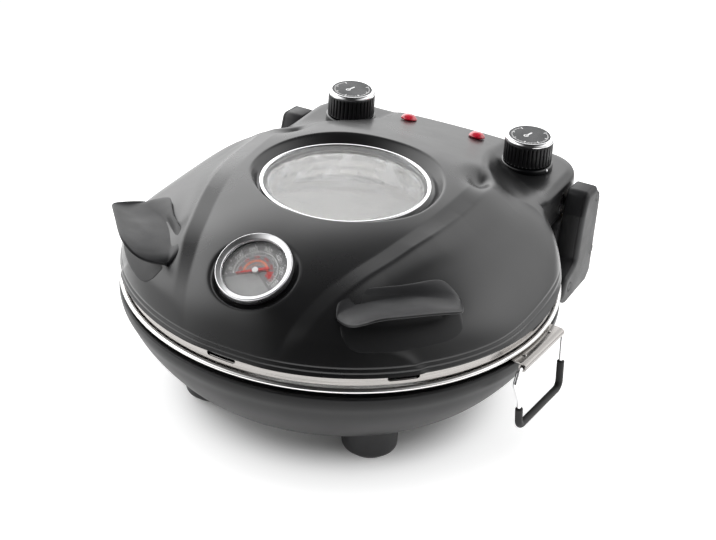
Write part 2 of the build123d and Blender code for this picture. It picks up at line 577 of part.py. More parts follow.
# hinge bushes in the lid's rear housing
pair("hinge_bushes", ring_x(8.5, PIN_R + PIN_CLEAR, 112.6, 125.0, HINGE_Y, HINGE_Z))
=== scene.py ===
import math
import bmesh
import bpy
import numpy as np
from mathutils import Matrix, Vector


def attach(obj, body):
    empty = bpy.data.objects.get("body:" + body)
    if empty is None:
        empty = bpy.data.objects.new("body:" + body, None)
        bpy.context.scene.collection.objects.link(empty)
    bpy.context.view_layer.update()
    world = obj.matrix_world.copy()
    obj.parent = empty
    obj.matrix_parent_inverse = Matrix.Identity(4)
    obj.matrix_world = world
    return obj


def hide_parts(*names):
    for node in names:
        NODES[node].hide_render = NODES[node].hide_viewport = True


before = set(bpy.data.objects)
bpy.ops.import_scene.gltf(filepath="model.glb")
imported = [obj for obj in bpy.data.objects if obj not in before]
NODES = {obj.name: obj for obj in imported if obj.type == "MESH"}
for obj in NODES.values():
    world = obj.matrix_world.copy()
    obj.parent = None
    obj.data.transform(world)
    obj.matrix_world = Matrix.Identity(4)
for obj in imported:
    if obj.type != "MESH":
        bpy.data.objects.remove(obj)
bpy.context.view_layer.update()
DY = -18.0      # mm: shape numbers below are given about the middle of the round rim

# ---------------------------------------------------------------------------
# helpers: meshes in millimetres about the rim centre, moved to the frame here
# ---------------------------------------------------------------------------


def finish_mesh(name, verts, faces, mat, body, node=None, smooth=True, mats=None, face_mats=None, shift=True):
    v = np.asarray(verts, float).copy()
    if shift:
        v[:, 1] += DY
    v *= 0.001
    me = bpy.data.meshes.new(name)
    me.from_pydata(v.tolist(), [], [tuple(int(i) for i in f) for f in faces])
    me.update()
    if smooth:
        me.polygons.foreach_set("use_smooth", [True] * len(me.polygons))
    for m in (mats or [mat]):
        me.materials.append(m)
    if face_mats is not None:
        me.polygons.foreach_set("material_index", list(face_mats))
    o = bpy.data.objects.new(name, me)
    bpy.context.scene.collection.objects.link(o)
    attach(o, body)
    if node:
        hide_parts(*([node] if isinstance(node, str) else node))
    return o


def sharpen(o, deg=32.0):
    """crease shading where faces meet at more than deg"""
    o.data.set_sharp_from_angle(angle=math.radians(deg))
    return o


def natural_spline(p, n):
    """n points along a smooth curve through p"""
    p = np.asarray(p, float)
    t = np.concatenate([[0], np.cumsum(np.linalg.norm(np.diff(p, axis=0), axis=1))])
    m = len(p)
    A = np.zeros((m, m))
    B = np.zeros((m, p.shape[1]))
    h = np.diff(t)
    A[0, 0] = A[-1, -1] = 1
    for i in range(1, m - 1):
        A[i, i - 1], A[i, i], A[i, i + 1] = h[i - 1], 2 * (h[i - 1] + h[i]), h[i]
        B[i] = 6 * ((p[i + 1] - p[i]) / h[i] - (p[i] - p[i - 1]) / h[i - 1])
    M = np.linalg.solve(A, B)
    s = np.linspace(0, t[-1], n)
    k = np.clip(np.searchsorted(t, s, side="right") - 1, 0, m - 2)
    a = (t[k + 1] - s)[:, None]
    b = (s - t[k])[:, None]
    hk = h[k][:, None]
    return (M[k] * a ** 3 + M[k + 1] * b ** 3) / (6 * hk) + (p[k] / hk - M[k] * hk / 6) * a + (p[k + 1] / hk - M[k + 1] * hk / 6) * b


def smooth_line(p, rounds):
    p = np.asarray(p, float).copy()
    for _ in range(rounds):
        p[1:-1] = 0.5 * p[1:-1] + 0.25 * (p[:-2] + p[2:])
    return p


def round_corners(pts, radii, closed=False, seg=6):
    """a polyline with its corners rounded"""
    pts = [np.asarray(p, float) for p in pts]
    n = len(pts)
    if not hasattr(radii, "__len__"):
        radii = [radii] * n
    out = []
    for i in range(n):
        p = pts[i]
        if not closed and i in (0, n - 1):
            out.append(p)
            continue
        a, b = pts[(i - 1) % n] - p, pts[(i + 1) % n] - p
        la, lb = np.linalg.norm(a), np.linalg.norm(b)
        a, b = a / la, b / lb
        ang = math.acos(max(-1, min(1, float(a @ b))))
        r = radii[i]
        if r <= 0 or ang > math.pi - 1e-3:
            out.append(p)
            continue
        d = min(r / math.tan(ang / 2), 0.49 * la, 0.49 * lb)
        r2 = d * math.tan(ang / 2)
        c = p + (a + b) / np.linalg.norm(a + b) * (r2 / math.sin(ang / 2))
        s, e = p + a * d - c, p + b * d - c
        tot = math.acos(max(-1, min(1, float(s @ e) / (np.linalg.norm(s) * np.linalg.norm(e)))))
        for k in range(seg + 1):
            f = k / seg
            if tot < 1e-6:
                out.append(c + s)
                continue
            out.append(c + (math.sin((1 - f) * tot) * s + math.sin(f * tot) * e) / math.sin(tot))
    return np.array(out)


def lathe_data(profile, n=256, closed=True, rfun=None, a0=0.0, a1=2 * math.pi):
    """profile is a list of (r, z); returns vertices and faces turned about the vertical axis"""
    prof = np.asarray(profile, float)
    m = len(prof)
    full = abs((a1 - a0) - 2 * math.pi) < 1e-9
    cols = n if full else n + 1
    ang = a0 + (a1 - a0) * np.arange(cols) / n
    V = np.zeros((cols, m, 3))
    R = prof[None, :, 0] * np.ones((cols, 1))
    if rfun is not None:
        R = rfun(ang[:, None], prof[None, :, 0], prof[None, :, 1])
    V[:, :, 0] = R * np.cos(ang)[:, None]
    V[:, :, 1] = R * np.sin(ang)[:, None]
    V[:, :, 2] = prof[None, :, 1]
    F = []
    jm = m if closed else m - 1
    for i in range(n):
        i2 = (i + 1) % cols if full else i + 1
        for j in range(jm):
            j2 = (j + 1) % m
            F.append((i * m + j, i2 * m + j, i2 * m + j2, i * m + j2))
    return V.reshape(-1, 3), F


def clean(verts, faces, tol=1e-4):
    """joins equal points and drops faces with no area"""
    v = np.asarray(verts, float)
    key = np.round(v / tol).astype(np.int64)
    _, idx, inv = np.unique(key, axis=0, return_index=True, return_inverse=True)
    inv = np.asarray(inv).reshape(-1)
    out = []
    for f in faces:
        g = []
        for i in f:
            k = int(inv[i])
            if not g or g[-1] != k:
                g.append(k)
        if len(g) > 1 and g[0] == g[-1]:
            g.pop()
        if len(g) > 2 and len(set(g)) == len(g):
            out.append(tuple(g))
    return v[idx], out


def lathe(name, profile, mat, body, node=None, n=256, at=None, closed=True, rfun=None, sharp=40.0):
    v, f = lathe_data(profile, n, closed, rfun)
    v, f = clean(v, f)
    if at is not None:
        v = at(v)
    o = finish_mesh(name, v, f, mat, body, node)
    if closed:
        outward(o)
    return sharpen(o, sharp)


def outward(o):
    bm = bmesh.new()
    bm.from_mesh(o.data)
    bmesh.ops.recalc_face_normals(bm, faces=bm.faces)
    bm.to_mesh(o.data)
    bm.free()


def shifted(dx=0.0, dy=0.0, dz=0.0):
    return lambda v: np.asarray(v, float) + np.array([dx, dy, dz])


def planar(origin, xd, zd):
    """from local (x, y, z) to a plane with that origin, x direction and normal"""
    zd = np.asarray(zd, float) / np.linalg.norm(zd)
    xd = np.asarray(xd, float)
    xd = xd - zd * (xd @ zd)
    xd /= np.linalg.norm(xd)
    yd = np.cross(zd, xd)
    M = np.stack([xd, yd, zd])
    return lambda v: np.asarray(v, float) @ M + np.asarray(origin, float)


def tube(path, radius, n=20, caps=True):
    """round tube along a list of points"""
    p = np.asarray(path, float)
    t = np.gradient(p, axis=0)
    t /= np.linalg.norm(t, axis=1)[:, None]
    up = np.array([0.0, 0.0, 1.0]) if abs(t[0][2]) < 0.9 else np.array([1.0, 0.0, 0.0])
    u = np.cross(t[0], up)
    u /= np.linalg.norm(u)
    V, F = [], []
    for i in range(len(p)):
        u = u - t[i] * (u @ t[i])
        u /= np.linalg.norm(u)
        w = np.cross(t[i], u)
        rad = radius[i] if hasattr(radius, "__len__") else radius
        for k in range(n):
            a = 2 * math.pi * k / n
            V.append(p[i] + rad * (math.cos(a) * u + math.sin(a) * w))
    for i in range(len(p) - 1):
        for k in range(n):
            k2 = (k + 1) % n
            F.append((i * n + k, i * n + k2, (i + 1) * n + k2, (i + 1) * n + k))
    if caps:
        F.append(tuple(range(n - 1, -1, -1)))
        F.append(tuple((len(p) - 1) * n + k for k in range(n)))
    return np.array(V), F


def merge_parts(parts):
    V, F, M = [], [], []
    base = 0
    for part in parts:
        v, f = part[0], part[1]
        k = part[2] if len(part) > 2 else 0
        V.append(np.asarray(v, float))
        F += [tuple(int(i) + base for i in g) for g in f]
        M += [k] * len(f)
        base += len(v)
    return np.concatenate(V), F, M


# ---------------------------------------------------------------------------
# materials
# ---------------------------------------------------------------------------
def material(name, base, rough, metallic=0.0, spec=0.5, ior=1.5, coat=0.0, coat_rough=0.1,
             grain=0.0, grain_scale=900.0, rough_var=0.05, rough_scale=60.0, tone_var=0.06, tone_scale=40.0,
             edge_highlight=0.0, edge_highlight_color=(0.3, 0.3, 0.3), trans=0.0, brushed=None, alpha=1.0, emission=None):
    """a surface with a fine grain, slow changes of tone and of gloss, and a painted highlight: lighter colour on sharp
    convex edges
    """
    m = bpy.data.materials.new(name)
    m.use_nodes = True
    nt = m.node_tree
    b = nt.nodes["Principled BSDF"]
    b.inputs["Metallic"].default_value = metallic
    b.inputs["IOR"].default_value = ior
    b.inputs["Specular IOR Level"].default_value = spec
    b.inputs["Coat Weight"].default_value = coat
    b.inputs["Coat Roughness"].default_value = coat_rough
    b.inputs["Transmission Weight"].default_value = trans
    b.inputs["Alpha"].default_value = alpha
    tc = nt.nodes.new("ShaderNodeTexCoord")
    mp = nt.nodes.new("ShaderNodeMapping")
    nt.links.new(tc.outputs["Object"], mp.inputs["Vector"])
    if brushed:
        mp.inputs["Scale"].default_value = brushed
    # tone
    n1 = nt.nodes.new("ShaderNodeTexNoise")
    n1.inputs["Scale"].default_value = tone_scale
    n1.inputs["Detail"].default_value = 5.0
    nt.links.new(mp.outputs["Vector"], n1.inputs["Vector"])
    r1 = nt.nodes.new("ShaderNodeMapRange")
    r1.inputs["From Min"].default_value = 0.3
    r1.inputs["From Max"].default_value = 0.7
    r1.inputs["To Min"].default_value = 1.0 - tone_var
    r1.inputs["To Max"].default_value = 1.0 + tone_var
    nt.links.new(n1.outputs["Fac"], r1.inputs["Value"])
    mix = nt.nodes.new("ShaderNodeMix")
    mix.data_type = "RGBA"
    mix.blend_type = "MULTIPLY"
    mix.inputs["Factor"].default_value = 1.0
    mix.inputs["A"].default_value = (*base, 1.0)
    nt.links.new(r1.outputs["Result"], mix.inputs["B"])
    out = mix.outputs["Result"]
    # sharp convex edges (high pointiness) are coloured lighter: a painted edge highlight
    if edge_highlight > 0:
        geo = nt.nodes.new("ShaderNodeNewGeometry")
        r3 = nt.nodes.new("ShaderNodeMapRange")
        r3.inputs["From Min"].default_value = 0.53
        r3.inputs["From Max"].default_value = 0.62
        r3.inputs["To Min"].default_value = 0.0
        r3.inputs["To Max"].default_value = edge_highlight
        nt.links.new(geo.outputs["Pointiness"], r3.inputs["Value"])
        mw = nt.nodes.new("ShaderNodeMix")
        mw.data_type = "RGBA"
        nt.links.new(r3.outputs["Result"], mw.inputs["Factor"])
        nt.links.new(out, mw.inputs["A"])
        mw.inputs["B"].default_value = (*edge_highlight_color, 1.0)
        out = mw.outputs["Result"]
    nt.links.new(out, b.inputs["Base Color"])
    # gloss
    n2 = nt.nodes.new("ShaderNodeTexNoise")
    n2.inputs["Scale"].default_value = rough_scale
    n2.inputs["Detail"].default_value = 4.0
    nt.links.new(mp.outputs["Vector"], n2.inputs["Vector"])
    r2 = nt.nodes.new("ShaderNodeMapRange")
    r2.inputs["From Min"].default_value = 0.3
    r2.inputs["From Max"].default_value = 0.7
    r2.inputs["To Min"].default_value = max(0.0, rough - rough_var)
    r2.inputs["To Max"].default_value = min(1.0, rough + rough_var)
    nt.links.new(n2.outputs["Fac"], r2.inputs["Value"])
    nt.links.new(r2.outputs["Result"], b.inputs["Roughness"])
    if grain > 0:
        n3 = nt.nodes.new("ShaderNodeTexNoise")
        n3.inputs["Scale"].default_value = grain_scale
        n3.inputs["Detail"].default_value = 3.0
        nt.links.new(mp.outputs["Vector"], n3.inputs["Vector"])
        bp = nt.nodes.new("ShaderNodeBump")
        bp.inputs["Strength"].default_value = grain
        bp.inputs["Distance"].default_value = 0.0003
        nt.links.new(n3.outputs["Fac"], bp.inputs["Height"])
        nt.links.new(bp.outputs["Normal"], b.inputs["Normal"])
    if emission:
        b.inputs["Emission Color"].default_value = (*emission[0], 1.0)
        b.inputs["Emission Strength"].default_value = emission[1]
    return m


MAT = {
    "shell": material("satin_black_lacquer", (0.0070, 0.0070, 0.0075), 0.295, grain=0.04, grain_scale=1400.0, rough_var=0.03,
                      rough_scale=25.0, tone_var=0.10, spec=0.62, edge_highlight=0.12, edge_highlight_color=(0.03, 0.03, 0.03)),
    "bowl": material("satin_black_bowl", (0.008, 0.008, 0.0085), 0.40, grain=0.06, grain_scale=1300.0, rough_var=0.03,
                     rough_scale=25.0, tone_var=0.10, spec=0.27),
    "plastic": material("matte_black_plastic", (0.011, 0.011, 0.012), 0.46, grain=0.16, grain_scale=1800.0, rough_var=0.05,
                        tone_var=0.10, spec=0.42, edge_highlight=0.25, edge_highlight_color=(0.035, 0.035, 0.035)),
    "knob": material("knob_black", (0.008, 0.008, 0.009), 0.40, grain=0.12, grain_scale=2000.0, spec=0.5, edge_highlight=0.3,
                     edge_highlight_color=(0.03, 0.03, 0.03)),
    "gloss": material("gloss_black", (0.004, 0.004, 0.005), 0.10, rough_var=0.03, grain=0.0, coat=0.4, coat_rough=0.05),
    "disc": material("knob_disc_grey", (0.035, 0.036, 0.038), 0.55, grain=0.5, grain_scale=2600.0, rough_var=0.08, tone_var=0.25,
                     tone_scale=900.0),
    "rubber": material("black_rubber", (0.014, 0.014, 0.014), 0.55, grain=0.3, grain_scale=1500.0, rough_var=0.06, spec=0.4),
    "chrome": material("polished_chrome", (0.86, 0.86, 0.87), 0.07, metallic=1.0, rough_var=0.025, rough_scale=120.0, tone_var=0.02),
    "satin": material("satin_chrome", (0.90, 0.90, 0.91), 0.30, metallic=1.0, rough_var=0.04, rough_scale=90.0, tone_var=0.02),
    "rolled": material("rolled_bright_steel", (0.80, 0.79, 0.78), 0.20, metallic=1.0, rough_var=0.04, rough_scale=90.0, tone_var=0.03),
    "steel": material("brushed_steel", (0.38, 0.365, 0.35), 0.24, metallic=1.0, rough_var=0.08, rough_scale=14.0, tone_var=0.07,
                      tone_scale=10.0, brushed=(1.0, 1.0, 60.0), grain=0.08, grain_scale=60.0),
    "zinc": material("plated_steel", (0.52, 0.52, 0.51), 0.32, metallic=1.0, rough_var=0.08, tone_var=0.08, grain=0.1),
    "alu": material("bright_reflector", (0.80, 0.80, 0.80), 0.26, metallic=1.0, rough_var=0.07, tone_var=0.06, grain=0.05,
                    grain_scale=300.0),
    "stone": material("pizza_stone", (0.74, 0.71, 0.66), 0.85, rough_var=0.06, tone_var=0.10, tone_scale=260.0, grain=0.6,
                      grain_scale=700.0, spec=0.25),
    "element": material("heater_sheath", (0.16, 0.155, 0.15), 0.42, metallic=1.0, rough_var=0.10, tone_var=0.30, tone_scale=90.0,
                        grain=0.2, grain_scale=800.0),
    "ceramic": material("ceramic", (0.72, 0.70, 0.64), 0.30, rough_var=0.06, tone_var=0.05, grain=0.1, coat=0.3),
    "bronze": material("sintered_bronze", (0.50, 0.33, 0.16), 0.40, metallic=1.0, rough_var=0.08, tone_var=0.15, grain=0.3),
    "silicone": material("grey_silicone", (0.30, 0.30, 0.30), 0.50, rough_var=0.05, tone_var=0.05, grain=0.1),
    "dial": material("dial_grey", (0.23, 0.23, 0.23), 0.55, rough_var=0.04, tone_var=0.05, tone_scale=300.0, grain=0.05),
    "dial_low": material("dial_plain_grey", (0.34, 0.34, 0.34), 0.50, rough_var=0.04, tone_var=0.03, grain=0.03),
    "white": material("print_white", (0.78, 0.78, 0.78), 0.5, rough_var=0.04, tone_var=0.05, grain=0.02),
    "soft_white": material("print_soft_white", (0.42, 0.42, 0.42), 0.5, rough_var=0.04, tone_var=0.05, grain=0.02),
    "orange": material("print_orange", (0.70, 0.22, 0.13), 0.5, rough_var=0.04, tone_var=0.06, grain=0.02),
    "red": material("print_red", (0.55, 0.05, 0.05), 0.45, rough_var=0.04, tone_var=0.05, grain=0.02),
    "lamp": material("lamp_red", (0.42, 0.010, 0.026), 0.12, rough_var=0.03, tone_var=0.30, tone_scale=350.0, spec=0.6, coat=0.6,
                     coat_rough=0.04, emission=((0.5, 0.01, 0.03), 0.07)),
    "inside": material("inside_black", (0.006, 0.006, 0.006), 0.6, rough_var=0.05, grain=0.1),
}


def glass(name, tint, rough=0.02):
    m = bpy.data.materials.new(name)
    m.use_nodes = True
    nt = m.node_tree
    b = nt.nodes["Principled BSDF"]
    b.inputs["IOR"].default_value = 1.5
    b.inputs["Transmission Weight"].default_value = 1.0
    b.inputs["Alpha"].default_value = 0.34
    b.inputs["Base Color"].default_value = (*tint, 1.0)
    n2 = nt.nodes.new("ShaderNodeTexNoise")
    n2.inputs["Scale"].default_value = 30.0
    r2 = nt.nodes.new("ShaderNodeMapRange")
    r2.inputs["To Min"].default_value = rough * 0.5
    r2.inputs["To Max"].default_value = rough * 1.8
    nt.links.new(n2.outputs["Fac"], r2.inputs["Value"])
    nt.links.new(r2.outputs["Result"], b.inputs["Roughness"])
    return m


MAT["glass"] = glass("window_clear_glass", (0.95, 0.965, 0.96))
MAT["lens"] = glass("gauge_clear_lens", (0.98, 0.98, 0.98), 0.01)

# ---------------------------------------------------------------------------
# LID SHELL: one pressed skin, found as the zero surface of a blended shape
# ---------------------------------------------------------------------------
GC = np.array([0.0, -137.6, 167.4])
GA = math.radians(29.7)
GN = np.array([0.0, -math.sin(GA), math.cos(GA)])
GX = np.array([1.0, 0.0, 0.0])
at_gauge = planar(GC, GX, GN)


def smin(a, b, k):
    h = np.maximum(k - np.abs(a - b), 0.0) / k
    return np.minimum(a, b) - h * h * h * k / 6.0


def smax(a, b, k):
    return -smin(-a, -b, k)


class Table2D:
    """signed distance to an outline in a plane, looked up from a grid"""

    def __init__(self, outline, x0, x1, y0, y1, step=0.5):
        p = np.asarray(outline, float)
        xs, ys = np.arange(x0, x1 + step, step), np.arange(y0, y1 + step, step)
        X, Y = np.meshgrid(xs, ys, indexing="ij")
        best = np.full(X.shape, 1e9)
        inside = np.zeros(X.shape, bool)
        n = len(p)
        for i in range(n):
            a, b = p[i], p[(i + 1) % n]
            d = b - a
            L2 = float(d @ d)
            if L2 < 1e-12:
                continue
            t = np.clip(((X - a[0]) * d[0] + (Y - a[1]) * d[1]) / L2, 0, 1)
            q = (X - a[0] - t * d[0]) ** 2 + (Y - a[1] - t * d[1]) ** 2
            best = np.minimum(best, q)
            cond = (a[1] > Y) != (b[1] > Y)
            with np.errstate(divide="ignore", invalid="ignore"):
                xi = d[0] * (Y - a[1]) / (d[1] if abs(d[1]) > 1e-12 else 1e-12) + a[0]
            inside ^= cond & (X < xi)
        self.g = np.where(inside, -1, 1) * np.sqrt(best)
        self.x0, self.y0, self.s = x0, y0, step
        self.nx, self.ny = self.g.shape

    def __call__(self, x, y):
        u = np.clip((x - self.x0) / self.s, 0, self.nx - 1.001)
        v = np.clip((y - self.y0) / self.s, 0, self.ny - 1.001)
        i, j = u.astype(int), v.astype(int)
        fu, fv = u - i, v - j
        g = self.g
        return ((1 - fu) * (1 - fv) * g[i, j] + fu * (1 - fv) * g[i + 1, j]
                + (1 - fu) * fv * g[i, j + 1] + fu * fv * g[i + 1, j + 1])


# (radius, height) from the foot of the shell to its crown
DOME = [(173.0, 110.2), (172.6, 113.0), (171.6, 118.0), (170.0, 124.0), (167.8, 130.4), (164.6, 136.6), (160.0, 142.4),
        (154.0, 147.4), (146.6, 151.6), (138.0, 155.2), (128.5, 158.6), (119.0, 161.6), (109.5, 164.2), (100.0, 166.6),
        (90.0, 168.6), (76.0, 170.6), (50.0, 172.5)]
SIDE = [(176.0, 104.0), (172.6, 110.2), (167.6, 118.0), (161.0, 126.0), (154.4, 133.6), (146.0, 141.6), (136.0, 149.4),
        (124.8, 156.4), (115.0, 162.0), (106.5, 166.6), (98.0, 171.0), (88.0, 175.5), (74.0, 180.0), (50.0, 186.0)]


def profile_table(pts, rounds):
    c = smooth_line(natural_spline(pts, 180), rounds)
    top = c[-1]
    outline = np.concatenate([[[c[0][0], 60.0]], c, [[-40.0, top[1] + 6.0], [-40.0, 60.0]]])
    return Table2D(outline, -4.0, 232.0, 84.0, 212.0)


T_DOME = profile_table(DOME, 60)
T_SIDE = profile_table(SIDE, 90)
SPINE = [(173.1, 109.6), (171.9, 116.0), (170.2, 124.0), (168.2, 133.0), (165.6, 141.5), (161.4, 149.4), (155.0, 156.2),
         (147.0, 161.8), (138.0, 166.9), (127.0, 172.4), (116.0, 177.0), (105.0, 180.2), (94.0, 181.8), (76.0, 182.6), (40.0, 183.4)]
T_SPINE = profile_table(SPINE, 60)

# height along the middle of the lid, from front to rear
MID = np.array([(-175.0, 92.0), (-173.2, 108.0), (-171.9, 116.0), (-170.2, 124.0), (-168.2, 133.0), (-165.4, 141.4), (-160.8, 149.0),
                (-154.2, 155.4), (-146.4, 160.2), (-137.6, 164.4), (-127.0, 167.9), (-116.0, 171.0), (-105.0, 173.7), (-94.0, 175.9),
                (-84.0, 177.4), (-76.0, 178.3), (-70.0, 178.8),
                (-40.0, 180.2), (0.0, 181.2), (40.0, 181.4), (70.0, 180.9), (84.0, 178.4), (100.0, 173.4), (130.0, 164.3),
                (160.0, 155.4), (190.0, 146.6), (206.0, 141.8), (230.0, 134.8)])
MIDC = smooth_line(natural_spline(MID, 700), 60)
# the ridge: where the crown's band starts (y, x, z)
RIDGE = np.array([(-175.0, 36.0, 92.0), (-169.0, 38.5, 116.0), (-160.0, 42.0, 137.0), (-145.0, 47.5, 150.6), (-130.0, 52.4, 159.2), (-118.0, 56.6, 163.4),
                  (-100.0, 62.0, 167.1), (-80.0, 68.4, 170.0), (-60.0, 73.8, 173.0), (-40.0, 78.6, 175.2), (-20.0, 81.8, 176.4),
                  (0.0, 83.8, 177.2), (20.0, 85.0, 177.6), (40.0, 85.4, 177.7), (56.0, 84.2, 176.9), (76.0, 80.0, 174.4),
                  (96.0, 72.4, 170.0), (116.0, 65.0, 164.8), (136.0, 58.6, 159.2), (156.0, 54.2, 153.6), (180.0, 51.8, 147.0),
                  (206.0, 51.0, 140.2), (230.0, 51.0, 134.0)])
RC = smooth_line(natural_spline(RIDGE, 700), 60)


def ramp(x, a, b):
    t = np.clip((x - a) / (b - a), 0, 1)
    return t * t * (3 - 2 * t)


def crown(ax, y):
    """height of the raised middle: a low crown, its sloping band, then a steep shoulder"""
    zm = np.interp(y, MIDC[:, 0], MIDC[:, 1])
    xc = np.interp(y, RC[:, 0], RC[:, 1])
    zc = np.interp(y, RC[:, 0], RC[:, 2])
    q = np.minimum(ax / xc, 1.0)
    zin = zm - (zm - zc) * q ** 2.4
    dx = (ax - xc) * 0.965
    # slope of the band, and of the shoulder past it
    wband = np.interp(y, [-150, -120, -90, -40, 20, 60, 90, 120, 150, 206], [11, 13.4, 14, 14.2, 14, 12, 8, 5.5, 3.5, 3])
    sb = np.interp(y, [-170, -145, -125, -60, -40, -20, 0, 20, 60, 90, 206], [0.30, 0.14, 0.04, 0.04, 0.10, 0.20, 0.28, 0.31, 0.30, 0.42, 0.5])
    ss = np.interp(y, [-170, -140, -120, -95, -60, 20, 80, 120, 206], [0.5, 0.6, 0.85, 1.05, 1.05, 0.95, 0.8, 0.95, 1.3])
    inner_slope = 2.4 * (zm - zc) / xc
    k1, k2 = 0.9, 1.8
    # convex turns are rounded with soft corners of width k1 and k2
    def soft(t, k):
        return np.where(t <= -k, 0.0, np.where(t >= k, t, (t + k) ** 2 / (4 * k)))
    out = zc - inner_slope * np.maximum(dx, 0) - (sb - inner_slope) * soft(dx, k1) - (ss - sb) * soft(dx - wband, k2)
    out = out - 1.2 * soft(ax - 124.0, 8.0)
    inn = zin - (sb - inner_slope) * soft(dx, k1)
    return np.where(dx < 0, inn, out)


def rounded_box(ax, y, z, half, y1, rc, ztop, rt):
    """rear housing: plan rounded at its corners by rc, top edge rounded by rt"""
    qx, qy = ax - (half - rc), y - (y1 - rc)
    plan = np.sqrt(np.maximum(qx, 0) ** 2 + np.maximum(qy, 0) ** 2) + np.minimum(np.maximum(qx, qy), 0) - rc
    a, b = plan + rt, z - ztop + rt
    return np.sqrt(np.maximum(a, 0) ** 2 + np.maximum(b, 0) ** 2) + np.minimum(np.maximum(a, b), 0) - rt


HOLLOW = (83.0, 67.0)


def shape(x, y, z):
    ax = np.abs(x)
    r = np.sqrt(x * x + y * y)
    base = smax(T_DOME(r, z), T_SIDE(ax, z), 14.0)
    zc = crown(ax, y)
    fc = (z - zc) / 1.08
    # in front the crown keeps inside a fuller dome
    fc = smax(fc, T_SPINE(r, z) - 60.0 * ramp(y, 10.0, 70.0), 3.0)
    f = smin(base, fc, 9.0)
    # knob platforms and rear housing
    zt = 141.4 + 0.0 * y
    box = rounded_box(ax, y, z, 125.0, 210.0, 34.0, zt, 9.0)
    box = np.maximum(box, 96.0 - y)
    kk = (26.0 - 18.0 * ramp(y, 150.0, 185.0)) * (1.0 - 0.8 * ramp(150.0 - z, 4.0, 22.0) * ramp(150.0 - y, 10.0, 30.0))
    h = np.maximum(kk - np.abs(f - box), 0.0) / kk
    f = np.minimum(f, box) - h * h * h * kk / 6.0
    # outside of the housing's plan nothing of the crown is left
    plan = rounded_box(ax, y, z * 0.0, 125.0, 210.0, 34.0, 500.0, 9.0)
    f = np.where(y > 100.0, smax(f, plan, 6.0), f)
    # two fine steps pressed into the foot of the dome
    for zg in (113.4, 117.2):
        f = f + 0.55 * np.exp(-((z - zg) / 0.75) ** 2) * ramp(100.0 - y, 0.0, 15.0)
    # hollow beside each knob
    hx, hy = (ax - HOLLOW[0]), (y - HOLLOW[1])
    u = -hx * 0.24 + hy * 0.97
    w = hx * 0.97 + hy * 0.24
    f = f + 9.0 * np.exp(-((u / 17.0) ** 2 + (w / 9.6) ** 2)) * ramp(z, 146.0, 156.0)
    # window recess
    near = ramp(-y, 15.0, 62.0)
    rq = r + near * np.interp(r, [67.0, 70.0, 300.0], [0.0, 5.2, 5.2])
    rec = np.interp(rq, [0, 67.4, 69.2, 77.0, 79.0, 300], [170.5, 170.5, 171.2, 180.6, 184.5, 700.0])
    f = smax(f, (z - rec) * 0.75, 2.2)
    # gauge dish
    q = np.stack([x - GC[0], y - GC[1], z - GC[2]], -1)
    hgt = q @ GN
    rho = np.sqrt(np.maximum((q ** 2).sum(-1) - hgt ** 2, 0))
    dish = np.interp(rho, [0, 29.4, 30.4, 37.0, 60.0], [-9.0, -9.0, -8.2, 0.6, 90.0])
    f = smax(f, (hgt - dish) * 0.72, 4.5)
    return f


NA, NS1, NS2 = ((720, 92, 112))
ang = 2 * math.pi * np.arange(NA) / NA - math.pi / 2
ca, sa = np.cos(ang), np.sin(ang)


def outline_radius(ca, sa):
    """plan outline of the lid along each direction"""
    r = np.full(ca.shape, 173.0)
    lo, hi = np.full(ca.shape, 90.0), np.full(ca.shape, 290.0)
    for _ in range(40):
        mid = 0.5 * (lo + hi)
        x, y = np.abs(mid * ca), mid * sa
        qx, qy = x - 91.0, y - 176.0
        box = np.sqrt(np.maximum(qx, 0) ** 2 + np.maximum(qy, 0) ** 2) + np.minimum(np.maximum(qx, qy), 0) - 34.0
        box = np.maximum(box, 40 - y)
        f = smin(mid - 173.0, box, 5.0)
        ins = f < 0
        lo, hi = np.where(ins, mid, lo), np.where(ins, hi, mid)
    return 0.5 * (lo + hi)


R = outline_radius(ca, sa)
zb = 110.2 + 2.4 * ramp(R * sa, 104.0, 120.0)
O, D = [], []
for j in range(NS1 + 1):
    t = j / NS1
    rr = 60.0 + (0.72 * R - 60.0) * t
    O.append(np.stack([rr * ca, rr * sa, np.full(NA, 122.0)], -1))
    D.append(np.tile(np.array([0, 0, 1.0]), (NA, 1)))
for j in range(1, NS2 + 1):
    t = j / NS2
    hor = 0.28 * R
    end = np.arctan2(zb - 122.0, hor)
    el = math.pi / 2 + (end - math.pi / 2) * t ** 0.94
    O.append(np.stack([0.72 * R * ca, 0.72 * R * sa, np.full(NA, 122.0)], -1))
    D.append(np.stack([np.cos(el) * ca, np.cos(el) * sa, np.sin(el)], -1))
O, D = np.array(O), np.array(D)
shp = O.shape[:2]
lo = np.zeros(shp)
hi = np.full(shp, 110.0)
found = np.zeros(shp, bool)
prev = np.zeros(shp)
step = 1.5
for k in range(1, 66):
    tcur = np.full(shp, k * step)
    P = O + D * tcur[..., None]
    f = shape(P[..., 0], P[..., 1], P[..., 2])
    new = (f >= 0) & ~found
    lo = np.where(new, prev, lo)
    hi = np.where(new, tcur, hi)
    found |= new
    prev = tcur
for _ in range(22):
    mid = 0.5 * (lo + hi)
    P = O + D * mid[..., None]
    f = shape(P[..., 0], P[..., 1], P[..., 2])
    ins = f < 0
    lo, hi = np.where(ins, mid, lo), np.where(ins, hi, mid)
OUT = O + D * (0.5 * (lo + hi))[..., None]
# the foot is a clean ring
OUT[-1, :, 0], OUT[-1, :, 1] = (R - 0.15) * ca, (R - 0.15) * sa
OUT[-1, :, 2] = zb
dome_foot = ramp(zb, 112.4, 110.4)
OUT[-1, :, 0] = np.where(R < 173.4, 172.9 * ca, OUT[-1, :, 0])
OUT[-1, :, 1] = np.where(R < 173.4, 172.9 * sa, OUT[-1, :, 1])


